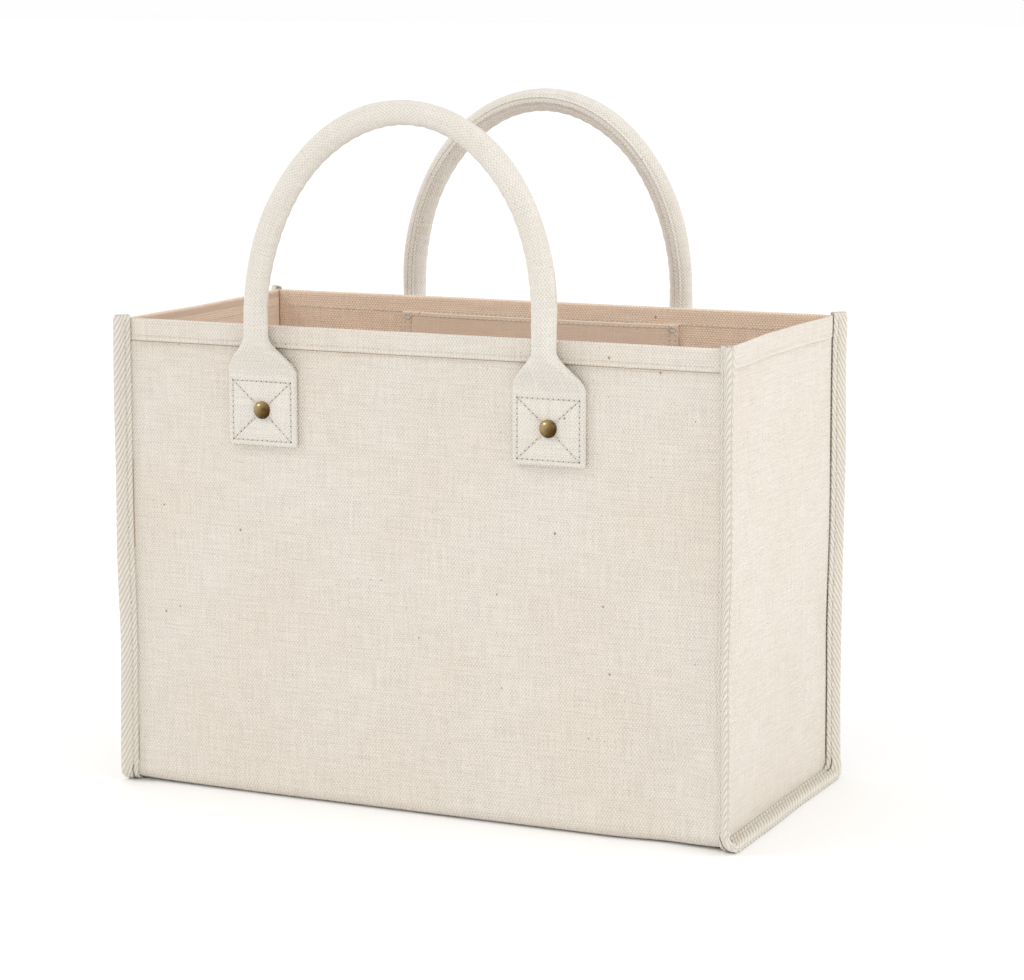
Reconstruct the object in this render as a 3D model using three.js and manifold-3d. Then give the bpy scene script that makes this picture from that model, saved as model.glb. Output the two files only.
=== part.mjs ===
// Canvas tote bag: a boxy shopper of heavy natural cotton, with bound outside seams and padded tube handles.
// Millimetres, +Z up. The origin is on the floor under the middle of the bag, and the front faces -Y.
import * as THREE from "three";
import { mergeVertices } from "three/addons/utils/BufferGeometryUtils.js";
import Module from "manifold-3d";

// ---- Driving dimensions -------------------------------------------------------------
const bagWidth = 355; // inside, between the two gussets
const bagDepth = 172; // inside, front face to back face
const rimHeight = 268; // floor to rim
const canvas = 1.0; // thickness of the body canvas
const tape = 0.7; // thickness of the binding tape
const gap = 0.3; // left between pieces that touch
const seamGap = 0.6; // and between the two cloths of a seam, which twists at the bottom corners

const foldRadius = 7; // inside radius of the bottom folds
const hemHeight = 12.5; // the rim is turned over to the outside by this much
const hemLayers = 2; // extra layers of canvas in the hem
const hemInset = 4; // the hem stops this far short of a side seam

const seamAllowance = 9.5; // width of the two raw edges inside each binding
const bindingFoot = 1.5; // the binding starts this far out from the seam
const bindingRise = 1.5; // its folded ends stand this far over the rim
const wallFinAngle = Math.PI / 4; // the bound seams point out at 45 degrees beside the walls
const floorFinAngle = 0; // and lie flat on the floor under the bag

const pocketWidth = 178;
const pocketHeight = 130;
const pocketDrop = 9.5; // rim to pocket mouth
const pocketCloth = 0.8;
const pocketGape = 6; // the mouth stands this far open
const pocketFlange = 8; // sewn flat edge of the pocket

const handleSpan = 172; // between the two legs of a handle
const handleRise = 117.5; // rim to the centre line at the top of the arch
const frontShift = -5.5; // the handles are sewn on a little to the left of the bag's middle
const backShift = -3.5; // and so is the pocket, which the back handle's rivets go through
const frontSkew = 5; // and the top of the front arch stands this far to the right of its legs' middle
const backSkew = 0;
const tubeDiameter = 13.6;
const coverThickness = 1.0;

const tabWidth = 42;
const tabThickness = 3.2; // folded end of the handle strip
const tabCorner = 2; // corner radius
const tabSquareness = 0.35; // power of the flat strip's superellipse section; 1 is the tube's ellipse
const tabBottom = 67; // rim down to the lower edge of the tab
const foldDrop = 30; // rim down to the fold line between tab and neck
const shoulderDrop = 25; // the neck keeps the tab's width up to here
const waistDrop = 6; // and is a round tube from here

const leanRise = 5; // rim up to the ball ends of the tube, about which the arch leans over the rim

const rivetDrop = 47; // rim down to the rivets
const rivetCapRadius = 5;
const rivetCapHeight = 2.8;
const rivetCapRim = 0.4; // straight edge under the dome
const rivetBackRadius = 4.5;
const rivetBackHeight = 2.0;
const rivetBackWall = 0.6;
const rivetPostRadius = 1.8;

// ---- Places that follow from them ---------------------------------------------------
const fold = seamGap / 2; // distance of a cloth's inner face from the seam's mid-plane
const bindingInside = fold + canvas + seamGap;
const bindingOutside = bindingInside + tape;
const floorLevel = bindingOutside; // height of the base's inside, as the flat bindings rest on the floor
const panelFace = bagDepth / 2 + fold + canvas; // outer face of the front and back, from the middle plane
const hemThickness = hemLayers * canvas;
const tubeRadius = tubeDiameter / 2;
const tubeCentre = panelFace + hemThickness + gap + tubeRadius; // the handle's centre line, from the middle
const tabBack = panelFace + gap;
const foldHeight = rimHeight - foldDrop;
const leanHeight = rimHeight + leanRise;
const rivetHeight = rimHeight - rivetDrop;
const rivetHoleRadius = rivetPostRadius + gap;

const gussetBorder = foldRadius - 1; // the gusset's turned-out border reaches in this far from the seam
const plateInset = foldRadius - 2; // and its flat middle starts this far in, so that the two overlap

const shave = 0.05; // step between faces of joined solids that would otherwise lie in one plane
const step = 1e-3; // run of a step's riser, which may not be quite upright in a loft
const overrun = 1; // cutters reach this far past what they cut
const arcSteps = 8; // facets of a bottom fold
const roundSides = 12; // facets of small round pieces
const domeSteps = 4; // facets of a rivet's dome, edge to middle
const cornerSegments = 4; // facets of a tab's corner
const neckSides = 16;
const neckSteps = 5; // from shoulder to waist
const tubeSteps = 28; // facets along the arch

// ---- Materials ----------------------------------------------------------------------
const finish = (color, roughness, metalness = 0) =>
  new THREE.MeshStandardMaterial({ color, roughness, metalness });
const materials = {
  canvas: finish(0xebe2d3, 0.95),
  binding: finish(0xeee5d3, 0.9),
  pocket: finish(0xe3d2bd, 0.95),
  handle: finish(0xefe9dc, 0.95),
  rope: finish(0xe9e0cc, 1.0),
  brass: finish(0x8a6a35, 0.35, 1.0),
};

// ---- Solids: joining and cutting ----------------------------------------------------
const wasm = await Module();
wasm.setup();

function solid(geometry) {
  const bare = (geometry.index ? geometry.toNonIndexed() : geometry).clone();
  bare.deleteAttribute("normal");
  bare.deleteAttribute("uv");
  const merged = mergeVertices(bare, 1e-4);
  return new wasm.Manifold(
    new wasm.Mesh({
      numProp: 3,
      vertProperties: merged.getAttribute("position").array,
      triVerts: new Uint32Array(merged.index.array),
    }),
  );
}

function geometryOf(manifold) {
  const { numProp, numVert, vertProperties, triVerts } = manifold.getMesh();
  const position = new Float32Array(numVert * 3);
  for (let i = 0; i < numVert; i++) {
    const first = i * numProp;
    position.set(vertProperties.subarray(first, first + 3), i * 3);
  }
  const geometry = new THREE.BufferGeometry();
  geometry.setAttribute("position", new THREE.BufferAttribute(position, 3));
  geometry.setIndex(new THREE.BufferAttribute(triVerts, 1));
  geometry.computeVertexNormals();
  return geometry;
}

// A closed solid through a row of rings, each a list of as many Vector3, with flat ends.
// outline is the ring's shape in 2-D, which the ends are filled from.
function loft(rings, outline) {
  const count = outline.length;
  const position = rings.flat().flatMap((p) => p.toArray());
  const index = [];
  for (let r = 0; r + 1 < rings.length; r++) {
    for (let i = 0; i < count; i++) {
      const a = r * count + i;
      const b = r * count + ((i + 1) % count);
      index.push(a, b, b + count, a, b + count, a + count);
    }
  }
  const last = (rings.length - 1) * count;
  const clockwise = THREE.ShapeUtils.isClockWise(outline);
  for (const triangle of THREE.ShapeUtils.triangulateShape(outline, [])) {
    const [a, b, c] = clockwise ? triangle.reverse() : triangle;
    index.push(a, c, b, last + a, last + b, last + c);
  }
  const geometry = new THREE.BufferGeometry();
  geometry.setAttribute("position", new THREE.Float32BufferAttribute(position, 3));
  geometry.setIndex(index);
  return geometry;
}

const box = (width, depth, height, x, y, z) =>
  new THREE.BoxGeometry(width, depth, height).translate(x, y, z);

// A cylinder along Y, for the rivets' holes.
const drill = (radius, length, x, y, z) =>
  new THREE.CylinderGeometry(radius, radius, length, roundSides).translate(x, y, z);

// ---- The side seam ------------------------------------------------------------------
// Both gussets are sewn to the body along the same line: down the front, round under the bag and up the back.
// A station holds a point of that line in the YZ plane, the outward normal there, and the angle of the seam,
// which falls faster than the fold turns, so that the binding doesn't reach below the floor.
function corner(sign) {
  const centre = new THREE.Vector2(sign * (bagDepth / 2 - foldRadius), floorLevel + foldRadius);
  return Array.from({ length: arcSteps + 1 }, (_, i) => {
    const share = sign < 0 ? i / arcSteps : 1 - i / arcSteps; // 0 on the wall, 1 on the floor
    const turn = (share * Math.PI) / 2;
    const normal = new THREE.Vector2(sign * Math.cos(turn), -Math.sin(turn));
    const point = centre.clone().addScaledVector(normal, foldRadius);
    return { point, normal, fin: THREE.MathUtils.lerp(wallFinAngle, floorFinAngle, Math.sin(turn)) };
  });
}

function wall(sign, height) {
  return {
    point: new THREE.Vector2((sign * bagDepth) / 2, height),
    normal: new THREE.Vector2(sign, 0),
    fin: wallFinAngle,
  };
}

const seamLine = (top) => [wall(-1, top), ...corner(-1), ...corner(1), wall(1, top)];

// A section's point at a station: out is measured along X away from the middle, up along the outward normal.
const place = (station, side, [out, up]) =>
  new THREE.Vector3(
    side * (bagWidth / 2 + out),
    station.point.x + station.normal.x * up,
    station.point.y + station.normal.y * up,
  );

// A point along the bound seam, offset to the body's side (positive) or the gusset's side (negative).
const onFin = (angle, along, offset) => [
  along * Math.cos(angle) - offset * Math.sin(angle),
  along * Math.sin(angle) + offset * Math.cos(angle),
];

// Where a cloth that lies at that distance from the seam's corner turns out into the bound seam.
const bodyTurn = (angle, distance) => [-distance * Math.tan(angle / 2), distance];
const gussetTurn = (angle, distance) => [distance, -distance * Math.tan((Math.PI / 2 - angle) / 2)];

const sectionOutline = (points) => points.map(([x, y]) => new THREE.Vector2(x, y));

// ---- Body: one cloth that is the front, the base and the back -----------------------
function bodySide(fin, side, thickness) {
  const near = fold;
  const far = fold + thickness;
  const edge = fold + canvas;
  return [
    { side, at: [-hemInset - step, near] },
    { side, at: bodyTurn(fin, near) },
    { side, at: onFin(fin, seamAllowance, near) },
    { side, at: onFin(fin, seamAllowance, edge) },
    { side, at: bodyTurn(fin, edge) },
    { side, at: [-hemInset, edge] },
    { side, at: [-hemInset - step, far] },
  ];
}

function bodyPanel() {
  const ringAt = (station, thickness) => {
    const right = bodySide(station.fin, 1, thickness);
    const left = bodySide(station.fin, -1, thickness).reverse();
    return [...right, ...left];
  };
  const hemmed = canvas + hemThickness;
  const hemLine = rimHeight - hemHeight;
  const stations = [
    [wall(-1, rimHeight), hemmed],
    [wall(-1, hemLine), hemmed],
    [wall(-1, hemLine), canvas],
    ...corner(-1).map((station) => [station, canvas]),
    ...corner(1).map((station) => [station, canvas]),
    [wall(1, hemLine), canvas],
    [wall(1, hemLine), hemmed],
    [wall(1, rimHeight), hemmed],
  ];
  const rings = stations.map(([station, thickness]) =>
    ringAt(station, thickness).map((p) => place(station, p.side, p.at)),
  );
  const outline = ringAt(stations[0][0], hemmed).map(
    ({ side, at }) => new THREE.Vector2(side * (bagWidth / 2 + at[0]), at[1]),
  );
  let body = solid(loft(rings, outline));
  const drillLength = 2 * (canvas + overrun);
  const middle = bagDepth / 2 + fold + canvas / 2;
  for (const [shift, y] of [[frontShift, -middle], [backShift, middle]]) {
    for (const x of [shift - handleSpan / 2, shift + handleSpan / 2]) {
      body = body.subtract(solid(drill(rivetHoleRadius, drillLength, x, y, rivetHeight)));
    }
  }
  return geometryOf(body);
}

// ---- Gusset: a side wall, with its edges turned out into the seam -------------------
function gusset(side) {
  const border = (station) => {
    const near = fold;
    const far = fold + canvas;
    return [
      [near, -gussetBorder],
      gussetTurn(station.fin, near),
      onFin(station.fin, seamAllowance, -near),
      onFin(station.fin, seamAllowance, -far),
      gussetTurn(station.fin, far),
      [far, -gussetBorder],
    ];
  };
  const stations = seamLine(rimHeight);
  const rings = stations.map((station) => border(station).map((p) => place(station, side, p)));
  const outline = sectionOutline(border(stations[0]));
  const turnedOut = solid(loft(side > 0 ? rings.reverse() : rings, outline));

  // The plate and the hem share no face with the border.
  const bottom = floorLevel + plateInset;
  const height = rimHeight - bottom - shave;
  const width = bagDepth - 2 * plateInset;
  const middle = side * (bagWidth / 2 + fold + canvas / 2);
  const plate = solid(box(canvas - 2 * shave, width, height, middle, 0, bottom + height / 2));

  const hemmed = canvas + hemThickness;
  const hemMiddle = side * (bagWidth / 2 + fold + 2 * shave + hemmed / 2);
  const hemWidth = bagDepth - 2 * hemInset;
  const hemCentre = rimHeight + shave - hemHeight / 2;
  const hem = solid(box(hemmed, hemWidth, hemHeight, hemMiddle, 0, hemCentre));
  return geometryOf(turnedOut.add(plate).add(hem));
}

// ---- Binding: herringbone tape folded over the raw edges of a side seam -------------
function binding(side) {
  const section = (fin) => [
    onFin(fin, bindingFoot, bindingOutside),
    onFin(fin, bindingFoot, bindingInside),
    onFin(fin, seamAllowance + gap, bindingInside),
    onFin(fin, seamAllowance + gap, -bindingInside),
    onFin(fin, bindingFoot, -bindingInside),
    onFin(fin, bindingFoot, -bindingOutside),
    onFin(fin, seamAllowance + gap + tape, -bindingOutside),
    onFin(fin, seamAllowance + gap + tape, bindingOutside),
  ];
  const stations = seamLine(rimHeight + bindingRise);
  const rings = stations.map((station) => section(station.fin).map((p) => place(station, side, p)));
  return loft(side > 0 ? rings : rings.reverse(), sectionOutline(section(wallFinAngle)));
}

// ---- Inner pocket: sewn flat to the back at both sides and the bottom, and gaping at the mouth ----
function innerPocket() {
  const back = bagDepth / 2 + fold - gap; // the side against the back panel
  const top = rimHeight - pocketDrop;
  const middle = top - pocketHeight / 2;
  const bulge = pocketGape + pocketCloth;
  const pouchWidth = pocketWidth - 2 * pocketFlange;
  const pouchHeight = pocketHeight - pocketFlange;
  const pouchMiddle = top - pouchHeight / 2;
  const flange = solid(box(pocketWidth, pocketCloth, pocketHeight, 0, back - pocketCloth / 2, middle));
  const pouch = solid(box(pouchWidth, bulge, pouchHeight, 0, back - bulge / 2, pouchMiddle));

  const roomWidth = pouchWidth - 2 * pocketCloth;
  const roomDepth = pocketGape + overrun;
  const roomHeight = pouchHeight - pocketCloth + overrun;
  const roomY = back + overrun - roomDepth / 2;
  const room = solid(box(roomWidth, roomDepth, roomHeight, 0, roomY, top + overrun - roomHeight / 2));
  let pocket = flange.add(pouch).subtract(room);
  const drillLength = 2 * (pocketCloth + overrun);
  for (const x of [-handleSpan / 2, handleSpan / 2]) {
    pocket = pocket.subtract(solid(drill(rivetHoleRadius, drillLength, x, back, rivetHeight)));
  }
  return geometryOf(pocket);
}

// ---- Handles ------------------------------------------------------------------------
// A handle is built for the front, in a group between its legs, and turned round for the back.

// The flat end of the handle strip, sewn to the panel, with the rivet's hole.
function tab() {
  const left = -tabWidth / 2;
  const right = tabWidth / 2;
  const bottom = rimHeight - tabBottom;
  const top = foldHeight - gap;
  const shape = new THREE.Shape();
  shape.moveTo(left, top);
  shape.lineTo(left, bottom + tabCorner);
  shape.absarc(left + tabCorner, bottom + tabCorner, tabCorner, Math.PI, 1.5 * Math.PI);
  shape.absarc(right - tabCorner, bottom + tabCorner, tabCorner, 1.5 * Math.PI, 2 * Math.PI);
  shape.lineTo(right, top);
  const hole = new THREE.Path().absarc(0, rivetHeight, rivetHoleRadius, 0, 2 * Math.PI, true);
  shape.holes.push(hole);
  const options = { depth: tabThickness, bevelEnabled: false, curveSegments: cornerSegments };
  const plate = new THREE.ExtrudeGeometry(shape, options);
  return plate.rotateX(Math.PI / 2).translate(0, -tabBack, 0);
}

// The neck: the strip rises from the fold line, narrows from shoulder to waist, and closes into a tube.
function neck() {
  const shoulder = rimHeight - shoulderDrop;
  const waist = rimHeight - waistDrop;
  const hemEdge = rimHeight - hemHeight - hemThickness; // the neck's back stands clear of the hem from here
  const outlineAt = (height) => {
    const share = THREE.MathUtils.smoothstep(height, shoulder, waist);
    const width = THREE.MathUtils.lerp(tabWidth, tubeDiameter, share);
    const thickness = THREE.MathUtils.lerp(tabThickness, tubeDiameter, share);
    const overHem = THREE.MathUtils.smoothstep(height, shoulder, hemEdge);
    const back = THREE.MathUtils.lerp(tabBack, tubeCentre - tubeRadius, overHem);
    const square = THREE.MathUtils.lerp(tabSquareness, 1, share);
    const power = (value) => Math.sign(value) * Math.abs(value) ** square;
    return Array.from({ length: neckSides }, (_, i) => {
      const turn = (i / neckSides) * 2 * Math.PI;
      const x = (width / 2) * power(Math.cos(turn));
      const y = -back - thickness / 2 + (thickness / 2) * power(Math.sin(turn));
      return new THREE.Vector3(x, y, height);
    });
  };
  const flare = Array.from({ length: neckSteps + 1 }, (_, i) =>
    THREE.MathUtils.lerp(shoulder, waist, i / neckSteps),
  );
  const rings = [foldHeight + gap, ...flare, leanHeight - tubeRadius - gap].map(outlineAt);
  return loft(rings, rings[0].map((p) => new THREE.Vector2(p.x, p.y)));
}

// The centre line of the padded tube: half an ellipse that stands on the two necks, its top skewed along X.
class Arch extends THREE.Curve {
  constructor(skew) {
    super();
    this.skew = skew;
  }

  getPoint(t, target = new THREE.Vector3()) {
    const turn = Math.PI * (1 - t);
    const x = (handleSpan / 2) * Math.cos(turn) + this.skew * Math.sin(turn);
    const z = leanHeight + (handleRise - leanRise) * Math.sin(turn);
    return target.set(x, -tubeCentre, z);
  }
}

function alongArch(radius, skew) {
  const section = new THREE.Shape().absarc(0, 0, radius, 0, 2 * Math.PI);
  const options = { steps: tubeSteps, extrudePath: new Arch(skew), curveSegments: roundSides / 2 };
  return solid(new THREE.ExtrudeGeometry(section, options));
}

// The tube's cloth: its two ends are balls, open below, that turn on the necks.
function gripCover(skew) {
  const boreRadius = tubeRadius - coverThickness;
  const mouthLength = 3 * tubeRadius;
  let outside = alongArch(tubeRadius, skew);
  let bore = alongArch(boreRadius, skew);
  for (const x of [-handleSpan / 2, handleSpan / 2]) {
    const ball = new THREE.SphereGeometry(tubeRadius, roundSides, roundSides / 2);
    const mouth = new THREE.CylinderGeometry(boreRadius, boreRadius, mouthLength, roundSides);
    ball.rotateX(Math.PI / 2).translate(x, -tubeCentre, leanHeight);
    mouth.rotateX(Math.PI / 2).translate(x, -tubeCentre, leanHeight - tubeRadius);
    outside = outside.add(solid(ball));
    bore = bore.add(solid(mouth));
  }
  return geometryOf(outside.subtract(bore));
}

const gripCore = (skew) => geometryOf(alongArch(tubeRadius - coverThickness - gap, skew));

// ---- Rivets: a domed cap with a post outside, and a smaller cap that closes on the post inside ----
// Both are turned about the rivet's axis, which lies along Y here, with the tab's outer face at y = 0.
function rivetCap(gripLength) {
  const dome = Array.from({ length: domeSteps + 1 }, (_, i) => {
    const turn = (i / domeSteps) * (Math.PI / 2);
    return new THREE.Vector2(rivetCapRadius * Math.sin(turn), rivetCapHeight * Math.cos(turn));
  });
  dome[0].x = 0;
  const profile = [
    new THREE.Vector2(0, -gripLength),
    new THREE.Vector2(rivetPostRadius, -gripLength),
    new THREE.Vector2(rivetPostRadius, gap),
    new THREE.Vector2(rivetCapRadius, gap),
    ...dome.reverse().map((p) => new THREE.Vector2(p.x, p.y + gap + rivetCapRim)),
  ];
  return new THREE.LatheGeometry(profile, roundSides).rotateX(Math.PI);
}

function rivetBack() {
  const socket = rivetBackHeight - rivetBackWall;
  const shoulder = new THREE.Vector2(0.7 * rivetBackRadius, 0.9 * rivetBackHeight);
  const profile = [
    new THREE.Vector2(0, socket),
    new THREE.Vector2(rivetHoleRadius, socket),
    new THREE.Vector2(rivetHoleRadius, 0),
    new THREE.Vector2(rivetBackRadius, 0),
    new THREE.Vector2(rivetBackRadius, rivetBackHeight / 2),
    shoulder,
    new THREE.Vector2(0, rivetBackHeight),
  ];
  return new THREE.LatheGeometry(profile.reverse(), roundSides).rotateX(Math.PI).scale(1, -1, 1);
}

// ---- Assembly -----------------------------------------------------------------------
const bag = new THREE.Group();

function add(parent, name, geometry, material) {
  const mesh = new THREE.Mesh(geometry, material);
  mesh.name = name;
  parent.add(mesh);
  return mesh;
}

add(bag, "body_panel", bodyPanel(), materials.canvas);
for (const [name, side] of [["left", -1], ["right", 1]]) {
  add(bag, name + "_gusset", gusset(side), materials.canvas);
  add(bag, name + "_binding", binding(side), materials.binding);
}
add(bag, "inner_pocket", innerPocket(), materials.pocket).position.x = backShift;

function handle(prefix, turn, shift, skew) {
  const group = new THREE.Group();
  group.rotation.z = turn;
  group.position.x = shift;
  const facing = Math.cos(turn);
  // Behind the back panel a rivet also goes through the pocket's sewn edge.
  const layersInside = facing < 0 ? pocketCloth + gap : 0;
  const backFace = panelFace - canvas - layersInside - gap;
  const tabFace = tabBack + tabThickness;
  const gripLength = tabFace - backFace + rivetBackHeight / 2;
  for (const end of [-1, 1]) {
    const name = prefix + (end * facing < 0 ? "_left" : "_right");
    const leg = new THREE.Group();
    leg.position.x = (end * handleSpan) / 2;
    add(leg, name + "_tab", tab(), materials.handle);
    add(leg, name + "_neck", neck(), materials.handle);
    const cap = add(leg, name + "_rivet_cap", rivetCap(gripLength), materials.brass);
    const back = add(leg, name + "_rivet_back", rivetBack(), materials.brass);
    cap.position.set(0, -tabFace, rivetHeight);
    back.position.set(0, -backFace, rivetHeight);
    group.add(leg);
  }
  add(group, prefix + "_grip_cover", gripCover(skew * facing), materials.handle);
  add(group, prefix + "_grip_core", gripCore(skew * facing), materials.rope);
  bag.add(group);
}
handle("front", 0, frontShift, frontSkew);
handle("back", Math.PI, backShift, backSkew);

export default bag;
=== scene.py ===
import math

import bpy
import numpy as np
from mathutils import Matrix, Vector


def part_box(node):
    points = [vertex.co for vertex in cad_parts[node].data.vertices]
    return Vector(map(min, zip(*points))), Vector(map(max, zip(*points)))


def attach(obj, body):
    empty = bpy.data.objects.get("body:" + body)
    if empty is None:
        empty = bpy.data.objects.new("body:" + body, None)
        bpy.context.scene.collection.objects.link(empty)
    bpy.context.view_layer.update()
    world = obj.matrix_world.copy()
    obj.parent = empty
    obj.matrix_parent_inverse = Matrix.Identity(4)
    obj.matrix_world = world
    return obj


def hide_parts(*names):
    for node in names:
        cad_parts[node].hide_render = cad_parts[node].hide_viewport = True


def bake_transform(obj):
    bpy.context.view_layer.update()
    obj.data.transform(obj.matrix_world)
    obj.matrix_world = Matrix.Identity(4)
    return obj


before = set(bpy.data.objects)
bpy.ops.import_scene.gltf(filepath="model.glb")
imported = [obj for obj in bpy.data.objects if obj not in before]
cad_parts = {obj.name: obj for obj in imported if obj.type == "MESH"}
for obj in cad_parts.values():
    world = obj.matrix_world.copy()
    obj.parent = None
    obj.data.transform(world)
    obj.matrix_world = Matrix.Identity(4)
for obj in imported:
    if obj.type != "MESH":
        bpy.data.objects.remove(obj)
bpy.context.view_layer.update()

MM = 0.001

# ---- Sizes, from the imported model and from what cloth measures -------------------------
SEAM_FOLD = 0.3 * MM  # a seam's mid-plane to the inner face of either cloth
CLOTH = 1.0 * MM
CLEARANCE = 0.3 * MM
CLOTH_MID = SEAM_FOLD + CLOTH / 2
SHEET = 0.95 * MM  # the built cloth, a little thinner than the room kept for it

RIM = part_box("body_panel")[1][2]
HALF_WIDTH = -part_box("left_gusset")[1][0] - SEAM_FOLD
PANEL_FACE = -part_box("front_left_tab")[1][1] - CLEARANCE
HALF_DEPTH = PANEL_FACE - CLOTH - SEAM_FOLD
FLOOR_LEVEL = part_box("body_panel")[0][2] + CLOTH + SEAM_FOLD
BOTTOM_RADIUS = 7 * MM
FIN_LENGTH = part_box("right_gusset")[1][0] - HALF_WIDTH
BINDING_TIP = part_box("right_binding")[1][0] - HALF_WIDTH
BINDING_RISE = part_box("right_binding")[1][2] - RIM
WALL_FIN = math.pi / 4

HEM = 12.5 * MM
HEM_STITCH = 9.8 * MM  # rim down to the hem's row of stitches
STITCH_PITCH = 3.1 * MM
THREAD = 0.3 * MM  # radius

TAPE = 0.65 * MM
TAPE_FOOT = 1.3 * MM
RIB_PITCH = 4.35 * MM
RIB_SLOPE = 2.0

POCKET_LOW, POCKET_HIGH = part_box("inner_pocket")
POCKET_CLOTH = 0.8 * MM

TAB_LOW, TAB_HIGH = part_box("front_left_tab")
GRIP_LOW, GRIP_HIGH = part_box("front_grip_cover")
RIVET_LOW, RIVET_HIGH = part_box("front_left_rivet_cap")
TAB_WIDTH = TAB_HIGH[0] - TAB_LOW[0]
HALF_SPAN = (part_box("front_right_tab")[1][0] - TAB_LOW[0] - TAB_WIDTH) / 2
SKEW = {"front": 5 * MM, "back": 0.0}  # the top of the arch from the middle of its legs
TAB_THICKNESS = TAB_HIGH[1] - TAB_LOW[1]
TUBE = GRIP_HIGH[1] - GRIP_LOW[1]
TUBE_CENTRE = -(GRIP_HIGH[1] + GRIP_LOW[1]) / 2
FOLD_HEIGHT = TAB_HIGH[2] + CLEARANCE
LEAN_HEIGHT = GRIP_LOW[2] + TUBE / 2
ARCH_TOP = GRIP_HIGH[2] - TUBE / 2
RIVET_HEIGHT = (RIVET_LOW[2] + RIVET_HIGH[2]) / 2
RIVET_RADIUS = (RIVET_HIGH[0] - RIVET_LOW[0]) / 2


def pair_middle(prefix):
    """Where along X the middle of a handle's two tabs stands."""
    right_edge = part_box(prefix + "_right_tab")[1][0]
    left_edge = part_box(prefix + "_left_tab")[0][0]
    return (right_edge + left_edge) / 2


SHIFT = {prefix: pair_middle(prefix) for prefix in ("front", "back")}


# ---- Small helpers ---------------------------------------------------------------------
def smooth(edge0, edge1, value):
    t = np.clip((value - edge0) / (edge1 - edge0), 0, 1)
    return t * t * (3 - 2 * t)


def mix(a, b, share):
    return a + (b - a) * share


def bump_at(value, centre, width):
    return np.exp(-(((value - centre) / width) ** 2))


def arc(centre, radius, start, end, count):
    """Points of an arc, as rows of two coordinates."""
    turn = np.linspace(start, end, count)
    return np.stack([centre[0] + radius * np.cos(turn), centre[1] + radius * np.sin(turn)], axis=1)


def lengths_to(points):
    """The length along a polyline to each of its points."""
    steps = np.linalg.norm(np.diff(points, axis=0), axis=1)
    return np.concatenate([[0], np.cumsum(steps)])


def resample(points, step):
    """Points evenly along a polyline, about step apart."""
    lengths = lengths_to(points)
    count = max(2, int(round(lengths[-1] / step)) + 1)
    at = np.linspace(0, lengths[-1], count)
    return np.stack([np.interp(at, lengths, points[:, k]) for k in range(points.shape[1])], axis=1)


def grid_faces(rows, columns, closed=False):
    """Quads between the rows of a grid of points, whose columns may close on themselves."""
    r = np.arange(rows - 1)[:, None]
    c = np.arange(columns if closed else columns - 1)[None, :]
    after = (c + 1) % columns
    row, next_row = r * columns, (r + 1) * columns
    quads = np.stack([row + c, row + after, next_row + after, next_row + c], axis=-1)
    return quads.reshape(-1, 4).tolist()


def new_piece(name, points, faces, material, uv=None, corner_uv=None):
    mesh = bpy.data.meshes.new(name)
    mesh.from_pydata(np.asarray(points, float).reshape(-1, 3).tolist(), [], faces)
    mesh.validate()
    for polygon in mesh.polygons:
        polygon.use_smooth = True
    if uv is not None:
        layer = mesh.uv_layers.new(name="Weave")
        corners = np.empty(len(mesh.loops), int)
        mesh.loops.foreach_get("vertex_index", corners)
        at_corners = np.asarray(uv, float).reshape(-1, 2)[corners]
        if corner_uv is not None:
            at_corners = corner_uv(mesh, at_corners)
        layer.data.foreach_set("uv", at_corners.astype(np.float32).ravel())
    mesh.materials.append(material)
    piece = bpy.data.objects.new(name, mesh)
    bpy.context.scene.collection.objects.link(piece)
    return piece


def thicken(piece, thickness):
    """Gives a sheet its thickness, half to each side, and applies it."""
    solidify = piece.modifiers.new("Thickness", "SOLIDIFY")
    solidify.thickness = thickness
    solidify.offset = 0
    depsgraph = bpy.context.evaluated_depsgraph_get()
    piece.data = bpy.data.meshes.new_from_object(piece.evaluated_get(depsgraph))
    piece.modifiers.clear()
    return piece


def face_vectors(mesh, field):
    """The center or the normal of every face, as three rows."""
    values = np.empty(len(mesh.polygons) * 3)
    mesh.polygons.foreach_get(field, values)
    return values.reshape(-1, 3).T


def paint_inside_bounce_shade(piece, material):
    """Gives the faces of a wall or base that look into the bag their own material: the same canvas in a
    warmer tone, which paints in the warm bounce light and shade inside the bag.
    """
    mesh = piece.data
    x, y, z = face_vectors(mesh, "center")
    nx, ny, nz = face_vectors(mesh, "normal")
    is_side = piece.name.endswith("gusset_cloth")
    upright = -ny * np.sign(y)
    looks_in = np.where(is_side, -nx * np.sign(x), np.where(z < 6 * MM, nz, upright))
    mesh.materials.append(material)
    mesh.polygons.foreach_set("material_index", (looks_in > 0.4).astype(int))


def paint_crevice_shade(piece):
    """Paints shade into the body's cloth in the narrow gaps under the hem's edge and along the tape's foot,
    as a darker canvas where shadow falls.
    """
    mesh = piece.data
    painted = np.empty(len(mesh.polygons), int)
    mesh.polygons.foreach_get("material_index", painted)
    x, y, z = np.abs(face_vectors(mesh, "center"))
    under_hem = (z > RIM - HEM - 0.75 * MM) & (z < RIM - HEM + 0.1 * MM)
    under_hem &= y < HALF_DEPTH + CLOTH + 0.9 * MM
    at_foot = (x > HALF_WIDTH - 0.4 * MM) & (z > 12 * MM)
    shaded_crevice_mask = (under_hem | at_foot) & (painted == 0)
    mesh.materials.append(CREVICE_SHADE)
    mesh.polygons.foreach_set("material_index", np.where(shaded_crevice_mask, 2, painted))


def finish_piece(piece, body, slot, *nodes):
    """Says which body the piece rides on, and which CAD nodes it replaces, if any. The slot argument is not
    used.
    """
    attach(piece, body)
    if nodes:
        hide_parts(*nodes)


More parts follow.
